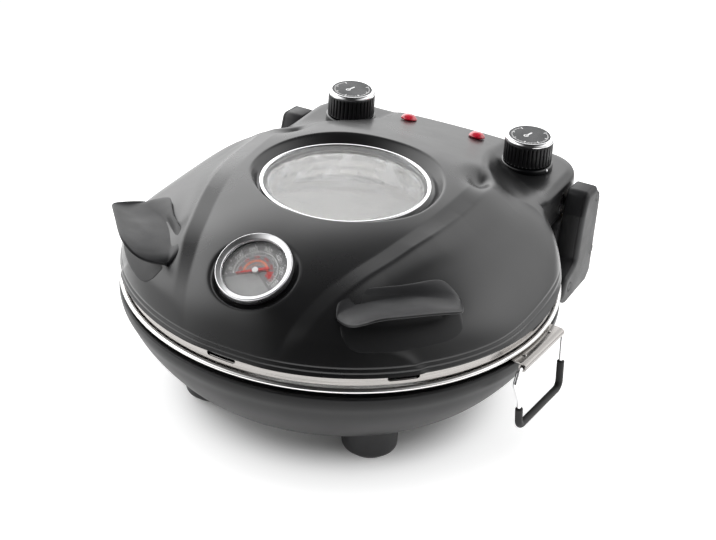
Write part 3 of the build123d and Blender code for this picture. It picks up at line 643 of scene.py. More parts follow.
def grid_normals(G):
    du = np.roll(G, -1, 1) - np.roll(G, 1, 1)
    dv = np.empty_like(G)
    dv[1:-1] = G[2:] - G[:-2]
    dv[0] = G[1] - G[0]
    dv[-1] = G[-1] - G[-2]
    n = np.cross(dv, du)
    n /= np.maximum(np.linalg.norm(n, axis=-1), 1e-9)[..., None]
    return n


nrm = grid_normals(OUT)
if np.mean(nrm[2, :, 2]) < 0:
    nrm = -nrm
INN = OUT - nrm * 2.0
# the inner skin ends level with the foot and the window hole
INN[-1, :, 0], INN[-1, :, 1], INN[-1, :, 2] = (R - 2.2) * ca, (R - 2.2) * sa, zb
INN[0, :, 0], INN[0, :, 1], INN[0, :, 2] = 60.0 * ca, 60.0 * sa, 168.6
rows = shp[0]
V = np.concatenate([OUT.reshape(-1, 3), INN.reshape(-1, 3)])
nv = rows * NA
F = []
for j in range(rows - 1):
    a = j * NA
    for i in range(NA):
        i2 = (i + 1) % NA
        F.append((a + i, a + NA + i, a + NA + i2, a + i2))
        F.append((nv + a + i, nv + a + i2, nv + a + NA + i2, nv + a + NA + i))
last = (rows - 1) * NA
for i in range(NA):
    i2 = (i + 1) % NA
    F.append((last + i, nv + last + i, nv + last + i2, last + i2))
    F.append((i, i2, nv + i2, nv + i))
lid = finish_mesh("lid_shell_skin", V, F, MAT["shell"], "lid", "lid_shell")
outward(lid)
sharpen(lid, 50)

# ---------------------------------------------------------------------------
# BASE: bowl, tray, band
# ---------------------------------------------------------------------------
N = 256
BOWL_OUT = [(174.0, 87.6), (173.2, 84.0), (170.6, 78.5), (166.8, 71.0), (161.8, 62.5), (155.4, 53.5), (146.6, 43.0), (135.2, 32.8),
            (122.0, 25.0), (110.0, 20.6), (102.0, 19.0)]
BOWL_IN = [(103.0, 21.2), (110.0, 22.9), (121.0, 27.3), (133.4, 34.8), (144.6, 44.6), (153.2, 54.9), (159.4, 63.7), (164.4, 72.1),
           (168.2, 79.5), (170.6, 84.6), (171.3, 87.4)]
bo = natural_spline(BOWL_OUT, 60)
bi = natural_spline(BOWL_IN, 40)
prof = np.concatenate([
    [(156.5, 87.8), (156.5, 90.0), (171.3, 90.0), (171.5, 90.2), (171.5, 92.0), (171.7, 92.7), (172.2, 93.1), (172.9, 93.1), (173.6, 92.7),
     (173.95, 92.0), (174.0, 91.2), (174.0, 89.4)], bo,
    [(99.0, 19.0), (92.4, 19.0), (92.0, 19.4), (92.0, 20.9), (92.4, 21.2), (99.0, 21.2)], bi, [(171.0, 87.8)]])
lathe("base_bowl_skin", prof, MAT["bowl"], "base", "base_bowl", n=N, sharp=35)

BOWL_CURVE = bo


def bowl_z(r):
    """underside height of the bowl at radius r"""
    return np.where(r < 102.0, 19.0, np.interp(r, BOWL_CURVE[::-1, 0], BOWL_CURVE[::-1, 1]))


def arc(cx, cz, r, a0, a1, n):
    a = np.radians(np.linspace(a0, a1, n))
    return [(cx + r * math.cos(t), cz + r * math.sin(t)) for t in a]


# tray: flange, rolled rim, well
prof = ([(154.4, 96.0), (155.0, 96.2), (169.8, 96.2), (170.3, 96.7)] + arc(172.0, 98.9, 1.98, 232, 232 - 340, 26)
        + [(170.5, 97.3), (170.2, 97.2), (154.2, 97.2), (153.5, 96.8)]
        + [tuple(p) for p in natural_spline([(153.4, 96.0), (153.2, 90.0), (152.8, 82.0), (151.4, 78.0)], 12)]
        + [(150.4, 78.0), (0.01, 78.0), (0.01, 77.0), (151.0, 77.0)]
        + [tuple(p) for p in natural_spline([(151.8, 77.2), (153.8, 81.8), (154.2, 90.0), (154.4, 95.6)], 12)])
lathe("stone_tray_pan", prof, MAT["rolled"], "base", "stone_tray", n=N, sharp=35)

prof = [(0.01, 78.0), (148.6, 78.0), (149.2, 78.3), (149.5, 78.9), (149.5, 88.4), (149.1, 89.4), (148.2, 90.0), (0.01, 90.0)]
lathe("baking_stone", prof, MAT["stone"], "base", "pizza_stone", n=192, sharp=35)


def slotted_band(name, ro, ri, z0, z1, slots, zs0, zs1, mat, body, node):
    """a band with rounded slots; slots is a list of (middle angle, half width in degrees)"""
    zm, hh = 0.5 * (zs0 + zs1), 0.5 * (zs1 - zs0)
    hr = math.degrees(hh / ro)
    angs = set(np.round(np.linspace(0, 360, 361)[:-1], 5))
    for c, w in slots:
        for t in np.linspace(0, 1, 9):
            for s in (-1, 1):
                angs.add(round((c + s * (w - hr * (1 - math.sin(t * math.pi / 2)))) % 360, 5))
    angs = sorted(angs)
    rows, openc = [], []
    for a in angs:
        h, op = 0.0, False
        for c, w in slots:
            dlt = abs((a - c + 180) % 360 - 180)
            if dlt < w - 1e-4:
                k = max(0.0, (dlt - (w - hr)) / hr)
                h = hh * math.sqrt(max(0.0, 1 - k * k))
                op = True
        rows.append((zm - h, zm + h))
        openc.append(op)
    V, F = [], []
    e = 0.25
    for a, (q0, q1) in zip(angs, rows):
        t = math.radians(a)
        for r, z in ((ro - e, z0), (ro, z0 + e), (ro, q0), (ro, q1), (ro, z1), (ri, z1), (ri, q1), (ri, q0), (ri, z0)):
            V.append((r * math.cos(t), r * math.sin(t), z))
    m = 9
    n = len(angs)
    for i in range(n):
        j = (i + 1) % n
        a, b = i * m, j * m
        for p, q in ((0, 1), (1, 2), (3, 4), (4, 5), (5, 6), (7, 8), (8, 0)):
            F.append((a + p, b + p, b + q, a + q))
        if openc[i] or openc[j]:
            F.append((a + 2, b + 2, b + 7, a + 7))
            F.append((a + 3, a + 6, b + 6, b + 3))
    V, F = clean(V, F)
    o = finish_mesh(name, V, F, mat, body, node)
    outward(o)
    return sharpen(o, 35)


slotted_band("lid_rim_band_strip", 170.5, 169.3, 102.0, 110.0, [((-92.0 + 45.0 * k) % 360, 4.0) for k in range(8)], 104.9, 109.1,
             MAT["steel"], "lid", "lid_rim_band")

# inner reflector of the lid keeps its holes, so its CAD solid stays

# ---------------------------------------------------------------------------
# WINDOW
# ---------------------------------------------------------------------------
prof = [(66.0, 170.5), (66.4, 170.7), (66.4, 174.6), (66.25, 175.1), (65.8, 175.5), (65.1, 175.6), (64.3, 175.5), (63.6, 175.2),
        (63.25, 174.9), (63.3, 174.75), (64.2, 174.7), (64.2, 171.5), (65.9, 171.5)]
lathe("window_ring", prof, MAT["chrome"], "lid", "window_trim_ring", n=N, sharp=50)
prof = [(0.01, 171.5), (63.6, 171.5), (64.05, 171.9), (64.05, 174.3), (63.6, 174.68), (0.01, 174.68)]
lathe("window_pane", prof, MAT["glass"], "lid", "window_glass", n=192, sharp=30)
prof = [(60.0, 150.3), (61.0, 150.3), (61.0, 166.9), (60.9, 168.2), (60.2, 168.25), (60.0, 166.9), (60.15, 164.0), (59.75, 162.6), (60.15, 161.2),
        (60.15, 156.6), (59.75, 155.2), (60.15, 153.8)]
lathe("window_sleeve", prof, MAT["alu"], "lid", "window_tunnel", n=192, sharp=50)

# ---------------------------------------------------------------------------
# THERMOMETER
# ---------------------------------------------------------------------------
prof = [(28.2, -6.2), (28.2, -1.3), (28.15, -0.8), (28.0, -0.4), (27.75, -0.14), (27.45, -0.05), (27.15, -0.12), (26.85, -0.27), (26.3, -0.57),
        (25.5, -1.0), (24.8, -1.38), (24.3, -1.66), (24.0, -1.95), (23.82, -2.5), (23.76, -3.3), (23.75, -4.2), (24.3, -4.3), (26.5, -3.4),
        (26.5, -6.4), (28.0, -6.4)]
lathe("gauge_bezel_ring", prof, MAT["satin"], "lid", "gauge_bezel", n=160, at=at_gauge, sharp=50)
prof = [(0.01, -4.15), (23.5, -4.15), (23.68, -4.0), (23.68, -3.6), (23.5, -3.45), (0.01, -3.45)]
lathe("gauge_window", prof, MAT["lens"], "lid", "gauge_lens", n=128, at=at_gauge, sharp=30)
prof = [(26.4, -8.6), (26.4, -2.9), (26.2, -2.65), (25.2, -2.65), (25.0, -2.9), (25.0, -7.4), (0.8, -7.4), (0.8, -8.9), (3.0, -9.0), (3.0, -16.8),
        (5.8, -16.9), (6.0, -16.6), (6.0, -9.4), (6.4, -9.0), (26.0, -9.0)]
lathe("gauge_can", prof, MAT["inside"], "lid", "gauge_case", n=128, at=at_gauge, sharp=35)

# strokes of plain numerals on a 4 x 6 field
STROKES = {
    "0": [[(1, 0), (3, 0), (4, 1.2), (4, 4.8), (3, 6), (1, 6), (0, 4.8), (0, 1.2), (1, 0)]],
    "1": [[(0.6, 4.6), (2.2, 6), (2.2, 0)]],
    "2": [[(0, 4.8), (1, 6), (3, 6), (4, 4.8), (4, 3.8), (0, 0), (4, 0)]],
    "3": [[(0, 5.4), (1, 6), (3, 6), (4, 4.9), (3.4, 3.4), (1.8, 3.2), (3.4, 3.0), (4, 1.5), (3, 0), (1, 0), (0, 0.8)]],
    "4": [[(3.0, 0), (3.0, 6), (0, 1.9), (4.2, 1.9)]],
    "5": [[(3.8, 6), (0.6, 6), (0.3, 3.4), (2.8, 3.7), (4, 2.6), (4, 1.2), (3, 0), (1, 0), (0, 0.8)]],
    "6": [[(3.6, 5.6), (2.4, 6), (1, 5.4), (0, 3), (0, 1.2), (1, 0), (3, 0), (4, 1.1), (4, 2.3), (3, 3.5), (1, 3.5), (0.1, 2.4)]],
    "7": [[(0, 6), (4, 6), (1.6, 0)]],
    "8": [[(1, 3.3), (0.2, 4.4), (0.6, 5.6), (2, 6), (3.4, 5.6), (3.8, 4.4), (3, 3.3), (1, 3.3), (0, 2.1), (0.3, 0.7), (2, 0), (3.7, 0.7), (4, 2.1), (3, 3.3)]],
    "9": [[(0.4, 0.4), (1.6, 0), (3, 0.6), (4, 3), (4, 4.8), (3, 6), (1, 6), (0, 4.9), (0, 3.7), (1, 2.5), (3, 2.5), (3.9, 3.6)]],
}


def slab(outline, z0, z1):
    """a flat shape given a little thickness"""
    n = len(outline)
    V = [(x, y, z0) for x, y in outline] + [(x, y, z1) for x, y in outline]
    F = [tuple(range(n - 1, -1, -1)), tuple(range(n, 2 * n))]
    F += [(i, (i + 1) % n, n + (i + 1) % n, n + i) for i in range(n)]
    return V, F


def stroke(p, q, w, z0, z1):
    p, q = np.asarray(p, float), np.asarray(q, float)
    d = q - p
    L = np.linalg.norm(d)
    d = d / max(L, 1e-9)
    nrm2 = np.array([-d[1], d[0]])
    h = w / 2
    a = math.atan2(d[1], d[0])
    pts = []
    for k in range(5):
        t = a - math.pi / 2 + math.pi * k / 4
        pts.append(q + h * np.array([math.cos(t), math.sin(t)]))
    for k in range(5):
        t = a + math.pi / 2 + math.pi * k / 4
        pts.append(p + h * np.array([math.cos(t), math.sin(t)]))
    return slab([tuple(c) for c in pts], z0, z1)


def numerals(text, cx, cy, height, w, z0, z1, rot=0.0):
    s = height / 6.0
    adv = 5.6 * s
    x0 = -0.5 * (adv * len(text) - 1.6 * s)
    c, sn = math.cos(rot), math.sin(rot)
    out = []
    for i, ch in enumerate(text):
        for line in STROKES[ch]:
            for a, b in zip(line[:-1], line[1:]):
                pa = (x0 + i * adv + a[0] * s, (a[1] - 3) * s)
                pb = (x0 + i * adv + b[0] * s, (b[1] - 3) * s)
                pa = (cx + pa[0] * c - pa[1] * sn, cy + pa[0] * sn + pa[1] * c)
                pb = (cx + pb[0] * c - pb[1] * sn, cy + pb[0] * sn + pb[1] * c)
                out.append(stroke(pa, pb, w, z0, z1))
    return out


def arc_strip(r0, r1, a0, a1, z0, z1, n=48):
    a = np.radians(np.linspace(a0, a1, n + 1))
    out = [(r1 * math.cos(t), r1 * math.sin(t)) for t in a] + [(r0 * math.cos(t), r0 * math.sin(t)) for t in a[::-1]]
    V = [(x, y, z0) for x, y in out] + [(x, y, z1) for x, y in out]
    m = len(out)
    F = []
    for i in range(n):
        k = m - 1 - i
        F.append((i, k, k - 1, i + 1))
        F.append((m + i, m + i + 1, m + k - 1, m + k))
    F += [(i, (i + 1) % m, m + (i + 1) % m, m + i) for i in range(m)]
    return V, F


DZ0, DZ1 = -6.92, -6.84
disc_v, disc_f = lathe_data([(0.9, -7.4), (24.6, -7.4), (24.8, -7.3), (24.8, -7.0), (24.6, -6.9), (0.9, -6.9)], 120)
parts = [(disc_v, disc_f, 0)]
A0, A1 = 204.0, -27.0


def scale_angle(t):
    return A0 + (A1 - A0) * t


for i in range(9):
    t = i / 8
    a = math.radians(scale_angle(t))
    parts.append((*stroke((21.9 * math.cos(a), 21.9 * math.sin(a)), (20.9 * math.cos(a), 20.9 * math.sin(a)), 0.45, DZ0, DZ1), 1))
for i, txt in enumerate(("0", "100", "200", "300", "400", "500", "600")):
    a = math.radians(scale_angle((i + 0.35) / 6.7))
    for v, f in numerals(txt, 18.9 * math.cos(a), 18.9 * math.sin(a), 2.3, 0.42, DZ0, DZ1, a - math.pi / 2):
        parts.append((v, f, 1))
parts.append((*arc_strip(16.1, 16.5, A1, A0, DZ0, DZ1, 72), 1))
for i in range(33):
    a = math.radians(scale_angle(i / 32))
    l = 1.9 if i % 4 == 0 else 1.0
    parts.append((*stroke((16.2 * math.cos(a), 16.2 * math.sin(a)), ((16.2 - l) * math.cos(a), (16.2 - l) * math.sin(a)), 0.32, DZ0, DZ1), 1))
parts.append((*arc_strip(13.2, 13.5, A1, A0, DZ0, DZ1, 72), 2))
for i in range(25):
    a = math.radians(scale_angle(i / 24))
    l = 1.3 if i % 4 == 0 else 0.7
    parts.append((*stroke((13.3 * math.cos(a), 13.3 * math.sin(a)), ((13.3 + l) * math.cos(a), (13.3 + l) * math.sin(a)), 0.28, DZ0, DZ1), 2))
for i, txt in enumerate(("50", "100", "150", "200", "250", "300")):
    a = math.radians(scale_angle((i + 0.4) / 6.0))
    for v, f in numerals(txt, 11.6 * math.cos(a), 11.6 * math.sin(a), 1.5, 0.34, DZ0, DZ1, a - math.pi / 2):
        parts.append((v, f, 4))
parts.append((*arc_strip(7.6, 9.4, 16.0, 200.0, DZ0, DZ1, 60), 3))
parts.append((*arc_strip(8.6, 13.4, -12.0, 15.0, DZ0, DZ1, 20), 4))
parts.append((*arc_strip(2.5, 6.9, 214.0, 328.0, DZ0, DZ1 - 0.04, 30), 5))
low = arc_strip(7.4, 22.6, 214.0, 326.0, DZ0, DZ1 - 0.05, 48)
parts.append((*low, 5))
v, f, k = merge_parts(parts)
v = at_gauge(v)
finish_mesh("gauge_dial_face", v, f, None, "lid", "gauge_dial", smooth=False,
            mats=[MAT["dial"], MAT["white"], MAT["soft_white"], MAT["orange"], MAT["red"], MAT["dial_low"]], face_mats=k)

# pointer: tapered blade with a counterweight tail and a domed hub
pa = math.radians(208.0)
c, s = math.cos(pa), math.sin(pa)


def rot2(pts):
    return [(x * c - y * s, x * s + y * c) for x, y in pts]


parts = [(*slab(rot2([(14.2, 0.12), (13.6, 0.34), (2.0, 0.75), (-9.2, 1.15), (-10.3, 0.75), (-10.5, 0.0), (-10.3, -0.75), (-9.2, -1.15),
                      (2.0, -0.75), (13.6, -0.34), (14.2, -0.12)]), -5.7, -5.1), 0)]
hv, hf = lathe_data([(0.01, -6.0), (2.2, -6.0), (2.3, -5.8), (2.3, -5.0), (2.1, -4.75), (1.5, -4.5), (0.01, -4.42)], 40)
parts.append((hv, hf, 1))
sv, sf = lathe_data([(0.01, -8.8), (0.7, -8.8), (0.8, -8.6), (0.8, -5.9), (0.01, -5.9)], 20)
parts.append((sv, sf, 2))
v, f, k = merge_parts(parts)
o = finish_mesh("gauge_needle", at_gauge(v), f, None, "pointer", "gauge_pointer",
                mats=[MAT["red"], MAT["white"], MAT["zinc"]], face_mats=k)
outward(o)
sharpen(o, 35)

# ---------------------------------------------------------------------------
# KNOBS
# ---------------------------------------------------------------------------
RIBS = 36


def rib_radius(ang, r, z):
    """straight ribs round the knob's side"""
    ph = (ang * RIBS / (2 * math.pi)) % 1.0
    w = np.abs(ph - 0.5) * 2.0
    rib = 1.0 - ramp(w, 0.52, 0.86)
    depth = 1.1 * ramp(z, 147.2, 148.4) * (1 - ramp(z, 163.4, 164.8))
    return r - np.where(r > 18.5, depth * (1.0 - rib), 0.0)


def turned(v, a, dx, dy):
    v = np.asarray(v, float)
    return np.stack([v[:, 0] * math.cos(a) - v[:, 1] * math.sin(a) + dx, v[:, 0] * math.sin(a) + v[:, 1] * math.cos(a) + dy, v[:, 2]], -1)


for sx, side_name in ((1, "right"), (-1, "left")):
    body = "knob_" + side_name
    at = shifted(sx * 83.9, 170.8, 0)
    prof = [(3.0, 146.6), (19.6, 146.6), (20.2, 146.8), (20.45, 147.3), (20.48, 148.4), (20.45, 156.0), (20.4, 163.4), (20.35, 164.6),
            (20.2, 165.1), (19.8, 165.4), (17.4, 165.4), (17.3, 164.6), (3.0, 164.6)]
    lathe("knob_grip_" + side_name, prof, MAT["knob"], body, "knob_body_" + side_name, n=RIBS * 12, at=at,
          rfun=rib_radius, sharp=60)
    prof = [(17.5, 165.45), (20.1, 165.45), (20.25, 165.8), (20.2, 166.6), (19.9, 167.5), (19.3, 168.3), (18.5, 168.8), (17.9, 168.9),
            (17.5, 168.7)]
    lathe("knob_ring_" + side_name, prof, MAT["chrome"], body, "knob_cap_ring_" + side_name, n=120, at=at, sharp=60)
    prof = [(0.01, 165.45), (17.35, 165.45), (17.42, 165.7), (17.42, 168.3), (17.2, 168.6), (0.01, 168.6)]
    dv, df = lathe_data(prof, 96)
    dv, df = clean(dv, df)
    parts = [(dv, df, 0)]
    P0, P1 = 168.55, 168.68
    # scale marks round the rim of the disc
    for i in range(25):
        a = math.radians(225.0 - 270.0 * i / 24.0)
        long = i % 4 == 0
        r0 = 13.4 if long else 14.6
        parts.append((*stroke((r0 * math.cos(a), r0 * math.sin(a)), (15.6 * math.cos(a), 15.6 * math.sin(a)),
                              0.9 if long else 0.45, P0, P1), 1))
    parts.append((*arc_strip(14.7, 15.3, -45.0, 225.0, P0, P1, 60), 2))
    # thermometer sign: a bulb with its stem
    ring_turn = math.radians(185.0)
    parts = [parts[0]] + [(turned(q[0], ring_turn, 0.0, 0.0), q[1], q[2]) for q in parts[1:]]
    sign = [arc_strip(1.25, 2.15, 0.0, 359.9, P0, P1, 36), stroke((0.0, 1.9), (0.0, 7.6), 1.5, P0, P1), stroke((0.0, 0.0), (0.0, 1.6), 0.7, P0, P1)]
    for q in sign:
        parts.append((turned(q[0], math.radians(-15.0), -2.4, -2.6), q[1], 1))
    v, f, k = merge_parts(parts)
    o = finish_mesh("knob_dial_" + side_name, at(v), f, None, body, "knob_cap_disc_" + side_name, smooth=True,
                    mats=[MAT["disc"], MAT["white"], MAT["soft_white"]], face_mats=k)
    sharpen(o, 30)

SK, DOTS = [], []
for sx in (1, -1):
    prof = [(5.4, 141.5), (21.6, 141.5), (21.9, 141.8), (21.9, 144.6), (21.7, 145.4), (21.2, 145.9), (20.4, 146.0), (5.6, 146.0), (5.4, 145.6)]
    v, f = lathe_data(prof, 128)
    v, f = clean(v, f)
    SK.append((v + np.array([sx * 83.9, 170.8, 0]), f, 0))
    a = math.radians(-20.0)
    rr = 1.7
    dots = [(max(0.01, rr * math.cos(t)), rr * math.sin(t)) for t in np.linspace(-math.pi / 2, math.pi / 2, 14)]
    v, f = lathe_data(dots, 24)
    v, f = clean(v, f)
    DOTS.append((v + np.array([sx * 83.9 + 21.3 * math.cos(a), 170.8 + 21.3 * math.sin(a), 144.0]), f, 0))
v, f, k = merge_parts(SK)
o = finish_mesh("knob_skirt_rings", v, f, MAT["gloss"], "lid", "knob_skirts")
outward(o)
sharpen(o, 45)
v, f, k = merge_parts(DOTS)
o = finish_mesh("knob_index_beads", v, f, MAT["chrome"], "lid", "knob_index_dots")
outward(o)

# ---------------------------------------------------------------------------
# LAMPS
# ---------------------------------------------------------------------------
DECK = 0.297
lamp_z = 180.3 - DECK * (181.4 - 76.0)
dn = np.array([0.0, DECK, 1.0])
dn /= np.linalg.norm(dn)
LL = []
for sx in (1, -1):
    prof = [(0.01, -7.0), (4.2, -7.0), (4.3, -6.8), (4.3, -0.2), (6.9, 0.0), (7.2, 0.3), (7.2, 1.0), (6.95, 1.5), (6.5, 2.2), (5.8, 3.1),
            (4.9, 3.85), (3.7, 4.5), (2.2, 4.88), (1.0, 4.98), (0.01, 5.0)]
    v, f = lathe_data(prof, 64)
    v, f = clean(v, f)
    LL.append((planar((sx * 32.5, 181.4, lamp_z), (1, 0, 0), dn)(v), f, 0))
v, f, k = merge_parts(LL)
o = finish_mesh("lamp_domes", v, f, MAT["lamp"], "lid", "lamp_lenses")
outward(o)
sharpen(o, 50)

# ---------------------------------------------------------------------------
# FEET
# ---------------------------------------------------------------------------
FEET, PADS = [], []
for fx in (70.5, -70.5):
    for fy in (77.0, -77.0):
        n = 64
        prof = [(0.01, 3.02), (18.2, 3.02), (19.6, 3.3), (20.6, 4.1), (21.3, 5.5), (21.5, 7.2), (21.5, 17.0), (21.5, 99.0)]
        V, F = [], []
        for i in range(n):
            t = 2 * math.pi * i / n
            for r, z in prof:
                x, y = fx + r * math.cos(t), fy + r * math.sin(t)
                if z > 90:
                    z = float(bowl_z(np.array(math.hypot(x, y)))) + 0.9
                V.append((x, y, z))
        m = len(prof)
        for i in range(n):
            j = (i + 1) % n
            for q in range(m - 1):
                F.append((i * m + q, j * m + q, j * m + q + 1, i * m + q + 1))
        V.append((fx, fy, float(bowl_z(np.array(math.hypot(fx, fy)))) + 0.9))
        for i in range(n):
            F.append((i * m + m - 1, ((i + 1) % n) * m + m - 1, len(V) - 1))
        V, F = clean(V, F)
        FEET.append((V, F, 0))
        prof = [(0.01, 0.15), (9.0, 0.15), (9.6, 0.6), (10.4, 0.6), (11.0, 0.02), (15.6, 0.02), (16.2, 0.3), (16.5, 0.9), (16.5, 3.0), (0.01, 3.0)]
        v, f = lathe_data(prof, 64)
        v, f = clean(v, f)
        PADS.append((v + np.array([fx, fy, 0]), f, 0))
v, f, k = merge_parts(FEET)
o = finish_mesh("feet_moulded", v, f, MAT["plastic"], "base", "feet")
outward(o)
sharpen(o, 50)
v, f, k = merge_parts(PADS)
o = finish_mesh("foot_pad_discs", v, f, MAT["rubber"], "base", "foot_pads")
outward(o)
sharpen(o, 40)

# ---------------------------------------------------------------------------
# HANDLES: a pad on the dome with a leaf-shaped lip that flares outwards
# ---------------------------------------------------------------------------
HAZ = math.radians(46.9)
HU = np.array([math.sin(HAZ), -math.cos(HAZ)])
HT = np.array([math.cos(HAZ), math.sin(HAZ)])


def dome_base(x, y, z):
    return smax(T_DOME(np.hypot(x, y), z), T_SIDE(np.abs(x), z), 14.0)


def dome_u(t, z):
    """how far out along the handle's own axis the dome's surface lies"""
    t, z = np.broadcast_arrays(np.asarray(t, float), np.asarray(z, float))
    lo, hi = np.full(t.shape, 90.0), np.full(t.shape, 185.0)
    for _ in range(26):
        m = 0.5 * (lo + hi)
        ins = dome_base(m * HU[0] + t * HT[0], m * HU[1] + t * HT[1], z) < 0
        lo, hi = np.where(ins, m, lo), np.where(ins, hi, m)
    return 0.5 * (lo + hi)


def table(rows):
    a = np.array(rows, float)
    return lambda t: [np.interp(t, a[:, 0], a[:, k]) for k in range(1, a.shape[1])]


LIP = table([(-56.0, 150.0, 150.2), (-55.2, 155.0, 150.8), (-54.0, 160.5, 151.8), (-52.2, 166.6, 154.0), (-50.2, 170.2, 156.0), (-47.5, 173.4, 158.6),
             (-44.5, 175.6, 160.6), (-41.2, 177.0, 162.2), (-37.0, 178.0, 163.4), (-32.8, 178.5, 164.0), (-24.0, 178.5, 163.7), (-15.0, 178.2, 163.0),
             (-1.0, 177.6, 162.0), (15.0, 177.0, 160.4), (23.0, 176.6, 159.4), (26.6, 176.0, 158.8), (27.8, 174.2, 158.4), (29.2, 170.4, 157.6),
             (31.0, 164.6, 156.6), (33.0, 158.0, 155.2), (34.3, 153.0, 154.0), (34.9, 150.0, 153.2)])
FIN = table([(-56.0, 146.6, 150.2), (-55.2, 143.4, 152.4), (-54.0, 140.6, 154.2), (-51.5, 137.4, 156.4), (-48.0, 134.8, 158.2), (-44.0, 132.9, 159.4),
             (-39.0, 131.6, 160.0), (-34.8, 131.1, 160.3), (-20.0, 132.2, 160.6), (-3.7, 133.4, 160.4), (10.4, 132.6, 160.3), (20.0, 131.2, 159.9),
             (26.0, 130.7, 159.3), (28.9, 131.4, 158.4), (31.0, 134.2, 157.4), (33.0, 138.8, 155.9), (34.3, 143.4, 154.4), (34.9, 147.0, 153.2)])
SHELF = table([(-56.0, 148.0, 149.9), (-54.0, 147.2, 152.2), (-49.0, 145.4, 153.6), (-40.0, 142.6, 154.2), (-31.8, 140.4, 154.5), (-20.0, 138.3, 154.6),
               (-4.5, 138.8, 154.6), (8.0, 143.0, 154.4), (18.0, 147.6, 154.2), (28.0, 152.6, 154.0), (32.0, 153.0, 153.8), (34.9, 149.0, 152.9)])
PADB = table([(-56.0, 146.0), (-55.4, 141.0), (-54.0, 137.2), (-52.4, 134.4), (-50.4, 132.4), (-48.0, 130.8), (-45.3, 129.9), (-41.0, 129.3), (-36.6, 129.1),
              (-22.8, 129.2), (-7.7, 129.8), (7.3, 130.8), (20.0, 131.3), (25.5, 132.2), (29.0, 133.6), (31.5, 135.2), (33.6, 138.0), (34.9, 142.0)])


def smooth_table(fn, ts):
    cols = fn(ts)
    out = []
    for c in cols:
        c = np.asarray(c).copy()
        for _ in range(3):
            c[1:-1] = 0.5 * c[1:-1] + 0.25 * (c[:-2] + c[2:])
        out.append(c)
    return out


ends0 = -56.0 + np.array([0, 0.12, 0.35, 0.7, 1.15, 1.7, 2.4, 3.2, 4.2, 5.4, 6.8, 8.4])
ends1 = 34.9 - np.array([0, 0.12, 0.35, 0.7, 1.15, 1.7, 2.4, 3.2, 4.2, 5.4, 6.8, 8.4])[::-1]
ts = np.concatenate([ends0, np.linspace(-45.4, 24.4, 44), ends1])
uL, zL = smooth_table(LIP, ts)
uF, zF = smooth_table(FIN, ts)
uS, zS = smooth_table(SHELF, ts)
(zB,) = smooth_table(PADB, ts)
PROUD = 3.2 * np.minimum(1.0, np.sqrt(np.clip(np.minimum(ts + 56.3, 35.2 - ts), 0, None) / 2.2))
sec = []
sec.append((uF + 1.2, zF - 6.5))
sec.append((uF + 0.1, zF - 3.8))
sec.append((uF, zF - 0.9))
sec.append((uF + 0.22, zF - 0.25))
sec.append((uF + 0.8, zF))
sec.append((uF + 1.7, zF - 0.22))
for q in (0.3, 0.6, 0.85):
    w = 0.5 - 0.5 * math.cos(math.pi * q)
    sec.append((uF + 1.7 + (uS - uF - 1.7) * q, zF - 0.22 + (zS - zF + 0.22) * w))
sec.append((uS, zS))
for q in (0.06, 0.14, 0.26, 0.40, 0.54, 0.68, 0.80, 0.89, 0.95):
    sec.append((uS + (uL - 0.9 - uS) * q, zS + (zL - zS) * q ** 2.1 - 0.9 * np.sin(math.pi * q) * np.clip((uL - uS) / 30.0, 0, 1)))
sec.append((uL - 0.9, zL - 0.02))
sec.append((uL - 0.35, zL - 0.2))
sec.append((uL - 0.04, zL - 0.7))
sec.append((uL - 0.08, zL - 1.25))
sec.append((uL - 0.5, zL - 1.8))
ext = np.clip((uL - 152.0) / 24.0, 0, 1)
zJ = np.minimum(147.4, np.maximum(zL - 3.6, zB + 1.6))
uJ = dome_u(ts, zJ) + PROUD
for q in (0.2, 0.42, 0.64, 0.84, 0.96):
    bend = -1.6 * math.sin(math.pi * q) * ext
    sec.append((uL - 0.5 + (uJ + 0.5 - uL + 0.5) * q + bend * 0.3, zL - 1.8 + (zJ - zL + 1.8) * q + bend * -0.4))
zlow = zB + 0.9
for q in (0.06, 0.22, 0.40, 0.58, 0.76, 0.92, 1.0):
    z = zJ + (zlow - zJ) * q
    sec.append((dome_u(ts, z) + PROUD, z))
ub = dome_u(ts, zB)
sec.append((ub + PROUD - 0.25, zB + 0.35))
sec.append((ub + PROUD - 0.8, zB))
sec.append((ub + PROUD * 0.35, zB - 0.15))
sec.append((ub - 1.4, zB + 0.3))
for q in (0.25, 0.5, 0.75, 0.95):
    z = zB + (np.minimum(zS - 2.0, 150.0) - zB) * q
    sec.append((dome_u(ts, z) - 1.7, z))
sec = [(np.broadcast_to(a, ts.shape), np.broadcast_to(b, ts.shape)) for a, b in sec]
m = len(sec)
HV = np.zeros((len(ts), m, 3))
for k, (u, z) in enumerate(sec):
    HV[:, k, 0] = u * HU[0] + ts * HT[0]
    HV[:, k, 1] = u * HU[1] + ts * HT[1]
    HV[:, k, 2] = z
HF = []
for i in range(len(ts) - 1):
    for k in range(m):
        k2 = (k + 1) % m
        HF.append((i * m + k, i * m + k2, (i + 1) * m + k2, (i + 1) * m + k))
HF.append(tuple(range(m)))
HF.append(tuple((len(ts) - 1) * m + k for k in range(m - 1, -1, -1)))
hv, hf = clean(HV.reshape(-1, 3), HF)
mv = hv * np.array([-1.0, 1.0, 1.0])
v, f, k = merge_parts([(hv, hf, 0), (mv, [tuple(reversed(g)) for g in hf], 0)])
o = finish_mesh("lid_handle_lips", v, f, MAT["plastic"], "lid", "lid_handles")
outward(o)
sharpen(o, 48)

# ---------------------------------------------------------------------------
# HINGE ARMS with their screwed covers
# ---------------------------------------------------------------------------
ARM = [(151.0, 117.0), (157.5, 136.6), (180.0, 134.6), (192.0, 122.0), (191.0, 49.0), (181.0, 41.4), (133.0, 43.0), (120.5, 53.0), (127.0, 70.0),
       (147.0, 76.5)]


